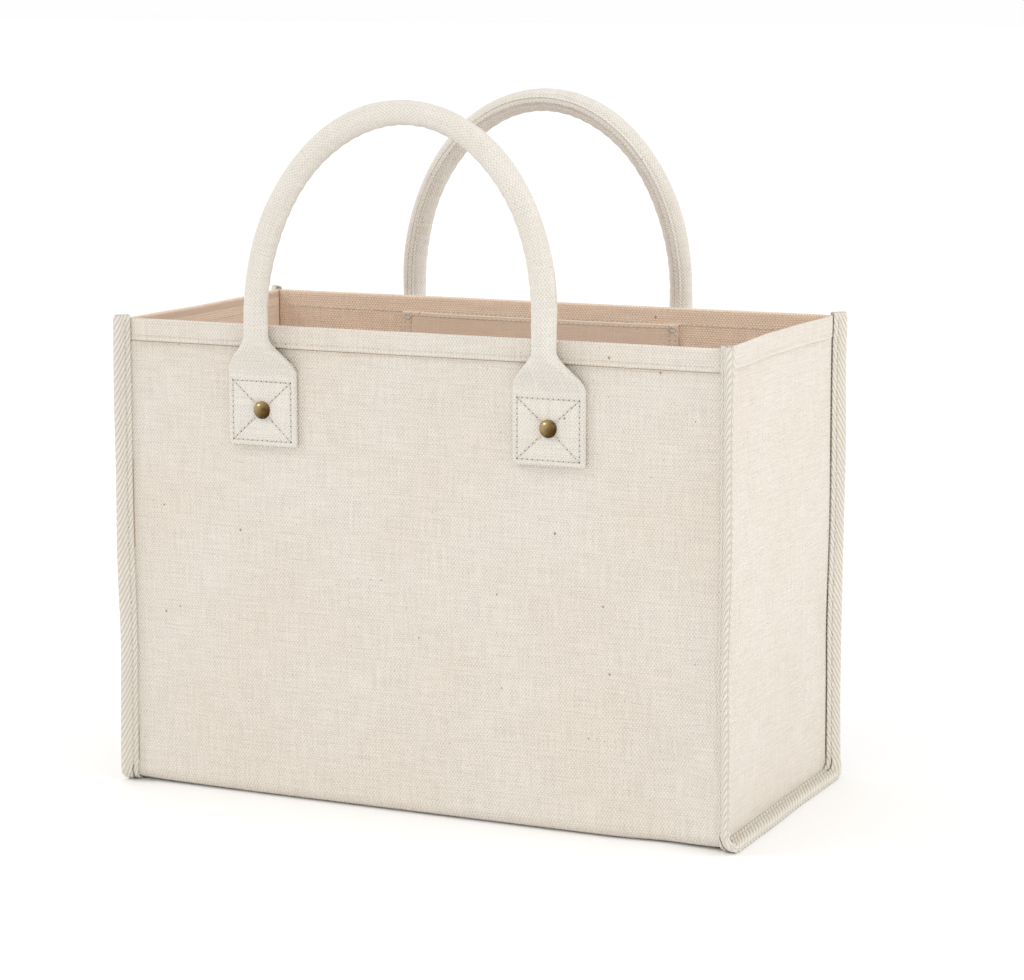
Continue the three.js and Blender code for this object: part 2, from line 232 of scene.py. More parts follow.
# ---- How the standing bag settles ------------------------------------------------------
RANDOM = np.random.default_rng(7)
FULL_TURN = 2 * math.pi
WAVES = [
    (RANDOM.uniform(0, FULL_TURN), RANDOM.uniform(38, 95), RANDOM.uniform(0, FULL_TURN))
    for _ in range(9)
]
DENTS = [  # depth, place along X and height, and half sizes along X and up, in millimetres
    (5.5, 148, 36, 26, 34),
    (2.2, 120, 90, 50, 30),
    (1.6, -140, 60, 30, 50),
]


def ripples(a, b):
    """A smooth random height between about -1 and 1, over a plane in metres."""
    total = np.zeros_like(a)
    for turn, waves, phase in WAVES:
        total += np.sin((a * math.cos(turn) + b * math.sin(turn)) * waves + phase) * 38 / waves
    return total / 3


def mound(x, z, x_middle, z_middle, x_half, z_half):
    """A smooth hill of height 1, with its middle and half sizes in millimetres."""
    x_share = (x / MM - x_middle) / x_half
    z_share = (z / MM - z_middle) / z_half
    return np.exp(-(x_share**2) - z_share**2)


def settle(points):
    """Where the standing bag's cloth comes to rest: shallow bellies, dents and ripples, clear of the tabs."""
    p = np.asarray(points, float).reshape(-1, 3).copy()
    x, y, z = p.T
    u, v, h = x / HALF_WIDTH, y / HALF_DEPTH, z / RIM
    across_front = np.clip(1 - u**2, 0, 1)
    across_side = np.clip(1 - v**2, 0, 1)
    rise = np.where(h < 0.8, np.sin(math.pi * np.clip(h, 0, 0.8) / 0.8) ** 2, 0)
    front, back = smooth(0.3, 0.95, -v), smooth(0.3, 0.95, v)
    side = np.sign(u) * smooth(0.5, 0.97, np.abs(u))
    clear = 1 - smooth(0.66, 0.76, h) * (1 - smooth(0.62, 0.75, np.abs(u)))  # keeps off the handle tabs

    belly = 2.6 * MM * across_front * rise
    dent = sum(depth * MM * mound(x, z, *where) for depth, *where in DENTS)
    crease = (HALF_WIDTH - x) * 0.62 - z * 0.78
    pucker = 1.9 * MM * np.cos(crease / (6.2 * MM)) * mound(x, z, 142, 50, 30, 45)
    wave = 1.25 * MM * ripples(x, z) * np.clip(across_front * 4, 0, 1) * smooth(0.02, 0.2, h)
    p[:, 1] -= front * clear * (belly - dent + pucker + wave)
    p[:, 1] += back * clear * (0.8 * belly + wave)

    bow = 4.2 * MM * across_side * smooth(0.45, 1.0, h)
    hollow = 2.4 * MM * across_side * bump_at(z, 0.055, 0.045)
    swell = 1.6 * MM * across_side * bump_at(z, 0.14, 0.06)
    wave = 0.7 * MM * ripples(y * 1.3, z) * np.clip(across_side * 3, 0, 1) * smooth(0.02, 0.2, h)
    p[:, 0] += side * (swell - bow - hollow + wave)

    # The bound corners wander a little from upright.
    at_corner = smooth(0.86, 0.99, np.abs(u)) * smooth(0.7, 0.97, np.abs(v))
    lean = -1.9 * MM * bump_at(h, 0.33, 0.2) + 0.8 * MM * np.sin(h * 5.2) * smooth(0.03, 0.25, h)
    p[:, 0] += at_corner * np.sign(u) * lean

    sag = np.clip(1 - u**8, 0, 1) * (1 - smooth(0.0, 0.06, h))
    p[:, 2] -= 1.05 * MM * sag
    return p


# ---- The side seam: down the front corner, under the bag and up the back corner --------
WALL_LENGTH = RIM - FLOOR_LEVEL - BOTTOM_RADIUS
ARC_LENGTH = BOTTOM_RADIUS * math.pi / 2
BASE_LENGTH = 2 * (HALF_DEPTH - BOTTOM_RADIUS)
SEAM_LENGTH = 2 * WALL_LENGTH + 2 * ARC_LENGTH + BASE_LENGTH


def seam(length):
    """At a length from the front rim: the seam's point in the YZ plane, its normal and its fin's angle."""
    length = np.asarray(length, float)
    mirrored = length > SEAM_LENGTH / 2
    s = np.where(mirrored, SEAM_LENGTH - length, length)
    turn = np.clip((s - WALL_LENGTH) / BOTTOM_RADIUS, 0, math.pi / 2)
    normal_y, normal_z = -np.cos(turn), -np.sin(turn)
    along_base = np.clip(s - WALL_LENGTH - ARC_LENGTH, 0, None)
    y = -HALF_DEPTH + BOTTOM_RADIUS + BOTTOM_RADIUS * normal_y + along_base
    z = FLOOR_LEVEL + BOTTOM_RADIUS + BOTTOM_RADIUS * normal_z + np.clip(WALL_LENGTH - s, 0, None)
    z = np.where(s < 0, RIM - s, z)
    flip = np.where(mirrored, -1.0, 1.0)
    fin = WALL_FIN * (1 - np.sin(turn))
    return np.stack([y * flip, z], -1), np.stack([normal_y * flip, normal_z], -1), fin


def place(length, side, out, up):
    """A point by its length along the seam, its distance out from it along X, and up along the normal."""
    point, normal, _ = seam(length)
    out, up = np.broadcast_arrays(np.asarray(out, float), np.asarray(up, float))
    x = side * (HALF_WIDTH + out)
    x = np.broadcast_to(x, np.broadcast_shapes(x.shape, point[..., 0].shape))
    return np.stack([x, point[..., 0] + normal[..., 0] * up, point[..., 1] + normal[..., 1] * up], -1)


def on_fin(fin, along, offset):
    return along * np.cos(fin) - offset * np.sin(fin), along * np.sin(fin) + offset * np.cos(fin)


def seam_steps(start, end):
    """Lengths from start to end that follow the walls, the bottom folds and the base."""
    marks = [start]
    fold_end = WALL_LENGTH + ARC_LENGTH
    stops = [WALL_LENGTH, fold_end, SEAM_LENGTH - fold_end, SEAM_LENGTH - WALL_LENGTH]
    steps = [3.2 * MM, 1.1 * MM, 4 * MM, 1.1 * MM, 3.2 * MM]
    for stop, step in zip([*stops, end], steps):
        count = max(1, int(round((stop - marks[-1]) / step)))
        marks += np.linspace(marks[-1], stop, count + 1)[1:].tolist()
    return np.array(marks)


def hem_path():
    """Mid-line of a rim folded over twice to the outside: rows of (length below the rim, distance out)."""
    layer = 0.9 * MM
    hidden, outer = CLOTH_MID + 1.1 * MM, CLOTH_MID + 2.1 * MM
    fold = (outer - hidden) / 2
    edge = HEM - fold - layer / 2
    top = (outer - CLOTH_MID) / 2
    down = np.stack([np.linspace(5 * MM, edge, 4), np.full(4, hidden)], 1)
    turn = arc((edge, (hidden + outer) / 2), fold, -math.pi / 2, math.pi / 2, 7)
    lengths = np.array([11.2, 10.7, 10.2, 9.8, 9.4, 8.9, 8.2, 6.5, 4.5, 3]) * MM
    face = outer - 0.32 * MM * bump_at(lengths, HEM_STITCH, 0.7 * MM)
    face += 0.15 * MM * bump_at(lengths, 6 * MM, 3 * MM)
    rim = arc((top + CLOTH / 2, (outer + CLOTH_MID) / 2), top, math.pi / 2, 3 * math.pi / 2, 9)
    return np.concatenate([down, turn, np.stack([lengths, face], 1), rim])


# ---- Materials -------------------------------------------------------------------------
class Graph:
    """A material's nodes, with its Principled shader."""

    def __init__(self, name):
        self.material = bpy.data.materials.new(name)
        self.material.use_nodes = True
        self.tree = self.material.node_tree
        self.tree.nodes.clear()
        self.shader = self.tree.nodes.new("ShaderNodeBsdfPrincipled")
        output = self.tree.nodes.new("ShaderNodeOutputMaterial")
        self.tree.links.new(self.shader.outputs[0], output.inputs[0])

    def put(self, socket, value):
        if isinstance(value, bpy.types.NodeSocket):
            self.tree.links.new(value, socket)
        else:
            socket.default_value = value

    def add(self, kind, output=0, settings=None, **inputs):
        node = self.tree.nodes.new(kind)
        for key, value in (settings or {}).items():
            setattr(node, key, value)
        for key, value in inputs.items():
            self.put(node.inputs[key.replace("_", " ")], value)
        return node.outputs[output]

    def math(self, operation, a, b=0.0, clamp=False):
        node = self.tree.nodes.new("ShaderNodeMath")
        node.operation = operation
        node.use_clamp = clamp
        self.put(node.inputs[0], a)
        self.put(node.inputs[1], b)
        return node.outputs[0]

    def times(self, a, b):
        return self.math("MULTIPLY", a, b)

    def plus(self, a, b):
        return self.math("ADD", a, b)

    def minus(self, a, b):
        return self.math("SUBTRACT", a, b)

    def split(self, value, kind="XYZ"):
        node = self.tree.nodes.new("ShaderNodeSeparate" + kind)
        self.put(node.inputs[0], value)
        return node.outputs

    def between(self, value, low, high, to_low=0.0, to_high=1.0):
        node = self.tree.nodes.new("ShaderNodeMapRange")
        node.interpolation_type = "SMOOTHSTEP"
        for socket, given in zip(node.inputs, (value, low, high, to_low, to_high)):
            self.put(socket, given)
        return node.outputs[0]

    def blend(self, share, a, b):
        node = self.tree.nodes.new("ShaderNodeMix")
        node.data_type = "RGBA"
        self.put(node.inputs["Factor"], share)
        self.put(node.inputs[6], a)
        self.put(node.inputs[7], b)
        return node.outputs[2]

    def weave_uv(self):
        """The cloth's own coordinates in metres: across and along the threads."""
        return self.add("ShaderNodeUVMap", settings={"uv_map": "Weave"})

    def noise(self, vector, scale, detail=2.0, roughness=0.5):
        return self.add("ShaderNodeTexNoise", Vector=vector, Scale=scale, Detail=detail, Roughness=roughness)

    def stretched(self, vector, x, y):
        node = self.tree.nodes.new("ShaderNodeMapping")
        node.inputs["Scale"].default_value = (x, y, 1)
        self.put(node.inputs["Vector"], vector)
        return node.outputs[0]

    def set(self, **values):
        for key, value in values.items():
            self.put(self.shader.inputs[key.replace("_", " ")], value)


def shade(color, factor):
    return (color[0] * factor, color[1] * factor, color[2] * factor, 1)


def cloth_finish(graph, color, height, depth, sheen=0.15):
    bump = graph.add("ShaderNodeBump", Height=height, Distance=depth, Strength=1.0)
    graph.set(Base_Color=color, Normal=bump, Roughness=0.92, Sheen_Weight=sheen, Sheen_Roughness=0.45)
    graph.set(Specular_IOR_Level=0.18)
    return graph.material


def seed_flecks(graph, vector, cell, size, share):
    """Cotton-seed flecks: small dots in some cells of a scatter, 1 inside a fleck."""
    cells = graph.tree.nodes.new("ShaderNodeTexVoronoi")
    cells.inputs["Scale"].default_value = 1 / cell
    graph.put(cells.inputs["Vector"], vector)
    parts = graph.split(cells.outputs["Color"], "Color")
    radius = graph.times(parts[1], size / cell)
    inside = graph.between(graph.math("DIVIDE", cells.outputs["Distance"], radius), 0.55, 1.0, 1.0, 0.0)
    chosen = graph.math("LESS_THAN", parts[0], share)
    return graph.times(inside, chosen)


def canvas_material(
    name, color, warp=1.8 * MM, weft=2.6 * MM, depth=0.45 * MM, contrast=0.29, flecks=1.0
):
    """Natural cotton canvas: a pebbly plain weave of uneven yarns, with seed flecks."""
    g = Graph(name)
    uv = g.weave_uv()
    wander = g.noise(uv, 160, 2)
    parts = g.split(uv)
    drift = g.times(g.minus(wander, 0.5), 1.1 * MM)
    across = g.math("SINE", g.times(g.plus(parts[0], drift), 2 * math.pi / warp))
    along = g.times(g.minus(parts[1], drift), 2 * math.pi / weft)
    picks = g.times(g.math("COSINE", g.times(along, 2)), -0.14)
    pebble = g.times(g.times(across, g.math("SINE", along)), 0.46)
    pebble = g.plus(g.plus(pebble, picks), 0.5)
    warp_yarn = g.noise(g.stretched(uv, 900, 45), 1, 2, 0.6)
    weft_yarn = g.noise(g.stretched(uv, 45, 900), 1, 2, 0.6)
    yarn = g.times(g.plus(warp_yarn, weft_yarn), 0.5)
    fuzz = g.noise(uv, 2600, 2, 0.7)
    height = g.plus(g.times(pebble, 0.62), g.times(yarn, 0.9))
    height = g.plus(height, g.times(fuzz, 0.22))
    tone = g.plus(g.times(pebble, 0.55), g.times(yarn, 0.9))
    light = g.between(tone, 0.3, 1.0)
    cloud = g.between(g.noise(uv, 14, 3), 0.3, 0.7)
    weave = g.blend(light, shade(color, 1 - contrast), shade(color, 1.03))
    warm = (color[0] * 0.985, color[1] * 0.955, color[2] * 0.915, 1)
    mottled = g.blend(g.times(cloud, 0.55), weave, g.blend(light, shade(warm, 1 - contrast), warm))
    small = g.times(seed_flecks(g, uv, 4.5 * MM, 0.62 * MM, 0.6 * flecks), 0.55)
    long_uv = g.stretched(uv, 1.0, 0.8)
    large = g.times(seed_flecks(g, long_uv, 10 * MM, 0.95 * MM, 0.5 * flecks), 0.8)
    tan, brown = (0.42, 0.29, 0.16, 1), (0.27, 0.17, 0.085, 1)
    flecked = g.blend(large, g.blend(small, mottled, tan), brown)
    return cloth_finish(g, flecked, height, depth)


def herringbone_material(name, color, turn):
    """Twill tape whose ribs meet along its middle, pointing forward or back with turn."""
    g = Graph(name)
    uv = g.weave_uv()
    parts = g.split(uv)
    aside = g.math("ABSOLUTE", parts[0])
    run = g.plus(parts[1], g.times(aside, -turn * RIB_SLOPE))
    wander = g.times(g.noise(uv, 200, 2), 0.9 * MM)
    rib = g.math("SINE", g.times(g.plus(run, wander), 2 * math.pi / RIB_PITCH))
    rib = g.plus(g.times(rib, 0.5), 0.5)
    cross = g.plus(parts[1], g.times(aside, turn / RIB_SLOPE))
    yarn = g.math("SINE", g.times(cross, 2 * math.pi / (0.9 * MM)))
    spine = g.between(aside, 0.0, 0.35 * MM, 0.0, 1.0)
    fuzz = g.noise(uv, 2400, 2, 0.7)
    height = g.plus(g.times(rib, 0.8), g.times(yarn, 0.1))
    height = g.times(g.plus(height, g.times(fuzz, 0.2)), spine)
    light = g.times(g.between(rib, 0.0, 0.6), g.between(spine, 0.0, 1.0, 0.35, 1.0))
    ribbed = g.blend(light, shade(color, 0.76), shade(color, 1.05))
    cloud = g.between(g.noise(uv, 30, 3), 0.3, 0.75)
    worn = g.blend(g.times(cloud, 0.25), ribbed, shade(color, 0.86))
    return cloth_finish(g, worn, height, 0.42 * MM)


def thread_material(name, color):
    """Thick sewing thread, with its twist."""
    g = Graph(name)
    place_in = g.add("ShaderNodeTexCoord", output=3)
    twist = g.add("ShaderNodeTexWave", output=1, Vector=place_in, Scale=900.0, Distortion=2.0)
    tint = g.between(g.noise(place_in, 300, 2), 0.3, 0.7)
    return cloth_finish(g, g.blend(tint, shade(color, 0.9), shade(color, 1.05)), twist, 0.12 * MM, 0.3)


def needle_hole_shade_material(name):
    """Painted shade for the needle holes between stitches: dark brown faces where the holes lie in shadow."""
    g = Graph(name)
    place_in = g.add("ShaderNodeTexCoord", output=3)
    tint = g.between(g.noise(place_in, 500, 2), 0.35, 0.65)
    g.set(Base_Color=g.blend(tint, (0.2, 0.14, 0.09, 1), (0.33, 0.25, 0.17, 1)), Roughness=1.0)
    g.set(Specular_IOR_Level=0.0)
    return g.material


def rope_material(name, color):
    g = Graph(name)
    uv = g.weave_uv()
    laid = g.stretched(uv, 300, 120)
    strands = g.add("ShaderNodeTexWave", output=1, Vector=laid, Scale=3.0, Distortion=1.5)
    tint = g.between(g.noise(uv, 90, 3), 0.3, 0.7)
    return cloth_finish(g, g.blend(tint, shade(color, 0.85), shade(color, 1.0)), strands, 0.5 * MM)


def brass_material(name):
    """Antique brass with painted light and shade: bright at the upper left and dark brown towards the lower
    right, with random dark speckle and fine scratches in its bump.
    """
    g = Graph(name)
    place_in = g.add("ShaderNodeTexCoord", output=3)
    parts = g.split(g.add("ShaderNodeTexCoord", output=0))
    # Painted light and shade: a gradient across the cap, lit at the upper left and shaded at the lower right;
    # the noise speckle on top of it is random tone.
    upper = g.times(parts[2], 0.65)
    shade_to_lower_right = g.minus(g.times(parts[0], 0.75), upper)
    speckle = g.times(g.noise(place_in, 260, 3, 0.5), 0.35)
    patina_and_shade = g.between(g.plus(shade_to_lower_right, speckle), -0.25, 0.6)
    scratch = g.noise(g.stretched(place_in, 2600, 260), 1, 2)
    color = g.blend(patina_and_shade, (0.52, 0.38, 0.19, 1), (0.085, 0.045, 0.012, 1))
    bump = g.add("ShaderNodeBump", Height=scratch, Distance=0.02 * MM, Strength=0.35)
    g.set(Base_Color=color, Metallic=1.0, Roughness=g.between(patina_and_shade, 0.0, 1.0, 0.26, 0.36), Normal=bump)
    return g.material


CANVAS = canvas_material("natural canvas", (0.82, 0.757, 0.675))
# Painted bounce light and shade: the canvas's inner faces in a warmer tone, as interreflection inside the bag
# makes them look.
INSIDE_BOUNCE_SHADE = canvas_material("natural canvas inside with painted bounce shade", (0.90, 0.72, 0.575))
HANDLE_CANVAS = canvas_material(
    "handle canvas", (0.83, 0.785, 0.715), 1.9 * MM, 2.4 * MM, 0.46 * MM, contrast=0.27, flecks=0.5
)
POCKET_CANVAS = canvas_material(
    "pocket canvas", (0.80, 0.645, 0.52), 1.4 * MM, 1.8 * MM, 0.3 * MM, contrast=0.13
)
TAPE_COLOR = (0.78, 0.725, 0.635)
TAPE_TWILLS = {
    side: herringbone_material(f"herringbone tape {side:+d}", TAPE_COLOR, side) for side in (-1, 1)
}
THREAD_COTTON = thread_material("sewing thread", (0.79, 0.735, 0.645))
# Painted shade: a darker canvas for the shadowed gaps under the hem and along the tape's foot.
CREVICE_SHADE = canvas_material("shadowed canvas", (0.60, 0.48, 0.37), contrast=0.3, flecks=0.0)
# Painted shade for the needle holes.
NEEDLE_HOLE_SHADE = needle_hole_shade_material("needle holes")
ROPE = rope_material("cotton rope", (0.76, 0.71, 0.62))
BRASS = brass_material("antique brass")


# ---- Stitches --------------------------------------------------------------------------
STITCH_SIDES = 6
STITCH_RISE = np.array([-0.35, 0.35, 0.62, 0.35, -0.35])  # of the thread's radius, along one stitch
STITCH_GIRTH = np.array([0.55, 0.95, 1.05, 0.95, 0.55])


def stitches(name, rows, bent=True, pitch=STITCH_PITCH, thread=THREAD, hole=0.75):
    """Rows of stitches with needle holes between; each row is points with the cloth's normal at each."""
    points, faces, holes = [], [], []
    ring = np.linspace(0, 2 * math.pi, STITCH_SIDES, endpoint=False)
    for row, normal in rows:
        row = np.asarray(row, float)
        normal = np.broadcast_to(np.asarray(normal, float), row.shape)
        marks = resample(np.hstack([row, normal]), pitch)
        place_at, upward = marks[:, :3], marks[:, 3:]
        upward = upward / np.linalg.norm(upward, axis=1, keepdims=True)
        for i in range(len(place_at) - 1):
            start, end, up = place_at[i], place_at[i + 1], upward[i]
            run = end - start
            length = np.linalg.norm(run)
            run = run / length
            across = np.cross(run, up)
            first = len(points)
            for share, rise, girth in zip(np.linspace(0.14, 0.86, 5), STITCH_RISE, STITCH_GIRTH):
                centre = start + run * length * share + up * rise * thread
                for turn in ring:
                    spread = across * math.cos(turn) + up * math.sin(turn)
                    points.append(centre + spread * thread * girth)
            for r in range(4):
                for k in range(STITCH_SIDES):
                    a, b = first + r * STITCH_SIDES + k, first + r * STITCH_SIDES + (k + 1) % STITCH_SIDES
                    faces.append([a, b, b + STITCH_SIDES, a + STITCH_SIDES])
            last = first + 4 * STITCH_SIDES
            faces.append([first + k for k in reversed(range(STITCH_SIDES))])
            faces.append([last + k for k in range(STITCH_SIDES)])
            first = len(points)
            for turn in ring:
                spread = run * math.cos(turn) + across * math.sin(turn)
                points.append(start + spread * thread * hole + up * 0.05 * MM)
            points.append(start - up * 0.3 * MM)
            holes.append(len(faces))
            faces.append([first + k for k in range(STITCH_SIDES)])
            for k in range(STITCH_SIDES):
                holes.append(len(faces))
                faces.append([first + STITCH_SIDES, first + (k + 1) % STITCH_SIDES, first + k])
    points = np.array(points)
    piece = new_piece(name, settle(points) if bent else points, faces, THREAD_COTTON)
    # The needle holes get the painted-shade material: a dark disc where the hole is only shadow.
    piece.data.materials.append(NEEDLE_HOLE_SHADE)
    for index in holes:
        piece.data.polygons[index].material_index = 1
        piece.data.polygons[index].use_smooth = False
    return piece


# ---- The body: one cloth that is the front, the base and the back ----------------------
FLANGE = (8.5 * MM, 5 * MM, 2.2 * MM)  # rows across the cloth's edge inside the bound seam


def squeeze(distance):
    """How far a hem's layers keep apart, by the distance from the seam that presses them flat."""
    return mix(0.3, 1.0, smooth(0.5 * MM, 6.5 * MM, distance))


def body_cloth():
    """The front, base and back as one sheet, from hem to hem, with its edges turned into the seams."""
    hem = hem_path()
    back_hem = np.stack([SEAM_LENGTH - hem[::-1, 0], hem[::-1, 1]], 1)
    lengths = seam_steps(hem[-1, 0] + 1.5 * MM, SEAM_LENGTH - hem[-1, 0] - 1.5 * MM)
    edges = np.array([HEM - 0.1 * MM, HEM + 0.65 * MM])
    lengths = np.sort(np.concatenate([lengths, edges, SEAM_LENGTH - edges]))
    main = np.stack([lengths, np.full(len(lengths), CLOTH_MID)], 1)
    path = np.concatenate([hem, main, back_hem])
    run = lengths_to(path)
    s, up = path.T
    _, _, fin = seam(s)

    inner = np.linspace(-HALF_WIDTH + 1.2 * MM, HALF_WIDTH - 1.2 * MM, 125)
    inner = np.concatenate([[-HALF_WIDTH + 0.35 * MM], inner, [HALF_WIDTH - 0.35 * MM]])
    columns, across = [], []

    def add_flange(side, along):
        out, rise = on_fin(fin, along, CLOTH_MID)
        columns.append(place(s, side, out, rise + (up - CLOTH_MID) * 0.2))
        across.append(side * (HALF_WIDTH + along))

    for along in FLANGE:
        add_flange(-1, along)
    for x in inner:
        level = CLOTH_MID + (up - CLOTH_MID) * squeeze(HALF_WIDTH - abs(x))
        columns.append(place(s, 1, x - HALF_WIDTH, level))
        across.append(x)
    for along in reversed(FLANGE):
        add_flange(1, along)
    points = np.stack(columns, axis=1)
    uv = np.stack(np.broadcast_arrays(np.array(across)[None, :], run[:, None]), -1)
    piece = new_piece("body_cloth", settle(points), grid_faces(*points.shape[:2]), CANVAS, uv)
    thicken(piece, SHEET)
    paint_inside_bounce_shade(piece, INSIDE_BOUNCE_SHADE)
    paint_crevice_shade(piece)
    finish_piece(piece, "root", "canvas", "body_panel")


# ---- Gussets ---------------------------------------------------------------------------
def gusset_cloth(name, node, side):
    """A side wall: its hem, its panel down to the base's folds, and its edges turned into the seam."""
    hem = hem_path()
    rows = [(s, out) for s, out in hem]
    panel = np.linspace(0, 1, 76)[1:]
    y_flat = np.linspace(-HALF_DEPTH + BOTTOM_RADIUS, HALF_DEPTH - BOTTOM_RADIUS, 50)
    turn = np.linspace(0, math.pi / 2, 8)[:-1]
    y_arc = -HALF_DEPTH + BOTTOM_RADIUS - BOTTOM_RADIUS * np.cos(turn)
    y_all = np.concatenate([y_arc, y_flat, -y_arc[::-1]])
    beyond = np.clip(np.abs(y_all) - (HALF_DEPTH - BOTTOM_RADIUS), 0, BOTTOM_RADIUS)
    bottom = FLOOR_LEVEL + BOTTOM_RADIUS - np.sqrt(BOTTOM_RADIUS**2 - beyond**2)
    start = RIM - hem[-1, 0]

    grid, uv = [], []
    for level, (s, out) in enumerate([*rows, *[(None, t) for t in panel]]):
        if s is None:
            z, out = start + (bottom - start) * out, CLOTH_MID
            flange_z = start + (FLOOR_LEVEL + BOTTOM_RADIUS - start) * panel[level - len(rows)]
        else:
            z = np.full(len(y_all), RIM - s)
            flange_z = RIM - s
        spread = CLOTH_MID + (out - CLOTH_MID) * squeeze(HALF_DEPTH - np.abs(y_all))
        line = np.stack([side * (HALF_WIDTH + spread), y_all, z], 1)
        ends = []
        for along in FLANGE:
            x, up = on_fin(WALL_FIN, along, -CLOTH_MID)
            x = x + (out - CLOTH_MID) * 0.2
            ends.append([side * (HALF_WIDTH + x), -HALF_DEPTH - up, flange_z])
        ends = np.array(ends)
        mirror = ends[::-1] * [1, -1, 1]
        grid.append(np.concatenate([ends, line, mirror]))
        v = RIM - z if s is None else np.full(len(z), s - 12 * MM)
        edge = RIM - flange_z
        reach = np.array(FLANGE)
        u = np.concatenate([-HALF_DEPTH - reach, y_all, HALF_DEPTH + reach[::-1]])
        uv.append(np.stack([u, np.concatenate([np.full(3, edge), v, np.full(3, edge)])], 1))
    grid, uv = np.array(grid), np.array(uv)
    faces = grid_faces(*grid.shape[:2])

    # The turned-out edge under the base, from one bottom fold round to the other.
    count = len(y_all)
    first = grid.size // 3
    arc_s = WALL_LENGTH + BOTTOM_RADIUS * turn
    flat_s = WALL_LENGTH + ARC_LENGTH + (y_flat + HALF_DEPTH - BOTTOM_RADIUS)
    s_all = np.concatenate([arc_s, flat_s, SEAM_LENGTH - arc_s[::-1]])
    _, _, fin = seam(s_all)
    strip, strip_uv = [], []
    for along in reversed(FLANGE):
        out, up = on_fin(fin, along, -CLOTH_MID)
        strip.append(place(s_all, side, out, up))
        strip_uv.append(np.stack([y_all, np.full(count, RIM - FLOOR_LEVEL + along)], 1))
    strip, strip_uv = np.array(strip), np.array(strip_uv)
    bottom_row = (grid.shape[0] - 1) * grid.shape[1] + len(FLANGE)
    for i in range(count - 1):
        faces.append([bottom_row + i, bottom_row + i + 1, first + i + 1, first + i])
    faces += [[first + i for i in quad] for quad in grid_faces(len(FLANGE), count)]
    points = np.concatenate([grid.reshape(-1, 3), strip.reshape(-1, 3)])
    uvs = np.concatenate([uv.reshape(-1, 2), strip_uv.reshape(-1, 2)])
    faces = [f[::-1] for f in faces] if side > 0 else faces
    piece = new_piece(name, settle(points), faces, CANVAS, uvs)
    thicken(piece, SHEET)
    paint_inside_bounce_shade(piece, INSIDE_BOUNCE_SHADE)
    finish_piece(piece, "root", "canvas", node)


# ---- Bindings --------------------------------------------------------------------------
def tape_section():
    """Mid-line of the folded tape, foot to foot: rows of (along the fin, share of its half thickness)."""
    tip = BINDING_TIP - 0.4 * MM
    nose = 1.7 * MM
    flat = np.linspace(TAPE_FOOT, tip - nose, 11)
    turn = np.linspace(math.pi / 2, -math.pi / 2, 9)[1:-1]
    round_end = np.stack([tip - nose + nose * np.cos(turn), np.sin(turn)], 1)
    upper = np.stack([flat, np.ones(len(flat))], 1)
    lower = np.stack([flat[::-1], -np.ones(len(flat))], 1)
    return np.concatenate([upper, round_end, lower])


STITCH_ON_TAPE = TAPE_FOOT + 3.1 * MM


def tape_half(s):
    """Half thickness of the bound seam: more over the hems, and level with the floor under the bag."""
    _, _, fin = seam(s)
    base = 1.0 - fin / WALL_FIN
    near_rim = np.minimum(s, SEAM_LENGTH - s)
    over_hem = 1 - smooth(9 * MM, 15 * MM, near_rim)
    closing = 1 - 0.25 * smooth(0.4 * MM, -BINDING_RISE, near_rim)
    return (1.62 * MM + 0.55 * MM * over_hem) * closing * (1 - base) + (2.6 * MM - TAPE / 2) * base


def edge_tape(name, node, side):
    """Twill tape folded over the seam, in one U-shaped length, with its ribs, stitch groove and ends."""
    section = tape_section()
    tape_length = SEAM_LENGTH + 2 * BINDING_RISE
    s = np.linspace(-BINDING_RISE, SEAM_LENGTH + BINDING_RISE, int(tape_length / (0.62 * MM)))
    _, _, fin = seam(s)
    half = tape_half(s)
    width = lengths_to(section * [1, 1.6 * MM])
    u = width - width[-1] / 2
    columns = []
    near_rim = np.minimum(s, SEAM_LENGTH - s)
    tuck = smooth(2 * MM, -BINDING_RISE, near_rim)
    for (along, level), across in zip(section, u):
        rib = 0.16 * MM * np.sin((s - side * abs(across) * RIB_SLOPE) * 2 * math.pi / RIB_PITCH)
        groove = 0.3 * MM * bump_at(along, STITCH_ON_TAPE, 0.75 * MM)
        near_row = bump_at(along, STITCH_ON_TAPE, 1.6 * MM)
        pinch = 0.1 * MM * np.cos(s * 2 * math.pi / STITCH_PITCH) * near_row
        lift = half * level + np.sign(level) * (rib - groove + pinch) * min(1, abs(level) * 1.5)
        reach = along + (rib if abs(level) < 0.75 else 0) - 0.6 * MM * tuck * (along > BINDING_TIP * 0.7)
        wobble = 0.25 * MM * np.sin(s * 61 + side) * (along > BINDING_TIP * 0.6)
        out, up = on_fin(fin, reach + wobble, lift)
        columns.append(place(s, side, out, up))
    points = np.stack(columns, axis=1)
    uv = np.stack(np.broadcast_arrays(u[None, :], s[:, None]), -1)
    faces = grid_faces(*points.shape[:2])
    faces = [f[::-1] for f in faces] if side > 0 else faces
    piece = new_piece(name, settle(points), faces, TAPE_TWILLS[side], uv)
    thicken(piece, TAPE)
    finish_piece(piece, "root", "binding_tape", node)


def edge_stitches(name, side):
    """One row of stitches on each face of the tape."""
    s = np.linspace(1.5 * MM, SEAM_LENGTH - 1.5 * MM, 500)
    _, normal, fin = seam(s)
    rows = []
    for face in (1, -1):
        level = tape_half(s) + TAPE / 2 - 0.22 * MM
        out, up = on_fin(fin, STITCH_ON_TAPE, face * level)
        row = place(s, side, out, up)
        lean_out, lean_up = on_fin(fin, 0, float(face))
        facing = np.stack([side * lean_out, normal[:, 0] * lean_up, normal[:, 1] * lean_up], 1)
        rows.append((row, facing))
    finish_piece(stitches(name, rows), "root", "binding_tape")


# ---- Hem stitches ----------------------------------------------------------------------
HEM_FACE = CLOTH_MID + 2.05 * MM + SHEET / 2
HEM_GROOVE = 0.32 * MM  # the stitches sink this far into the hem
HEM_STITCH_MARGIN = 3.5 * MM


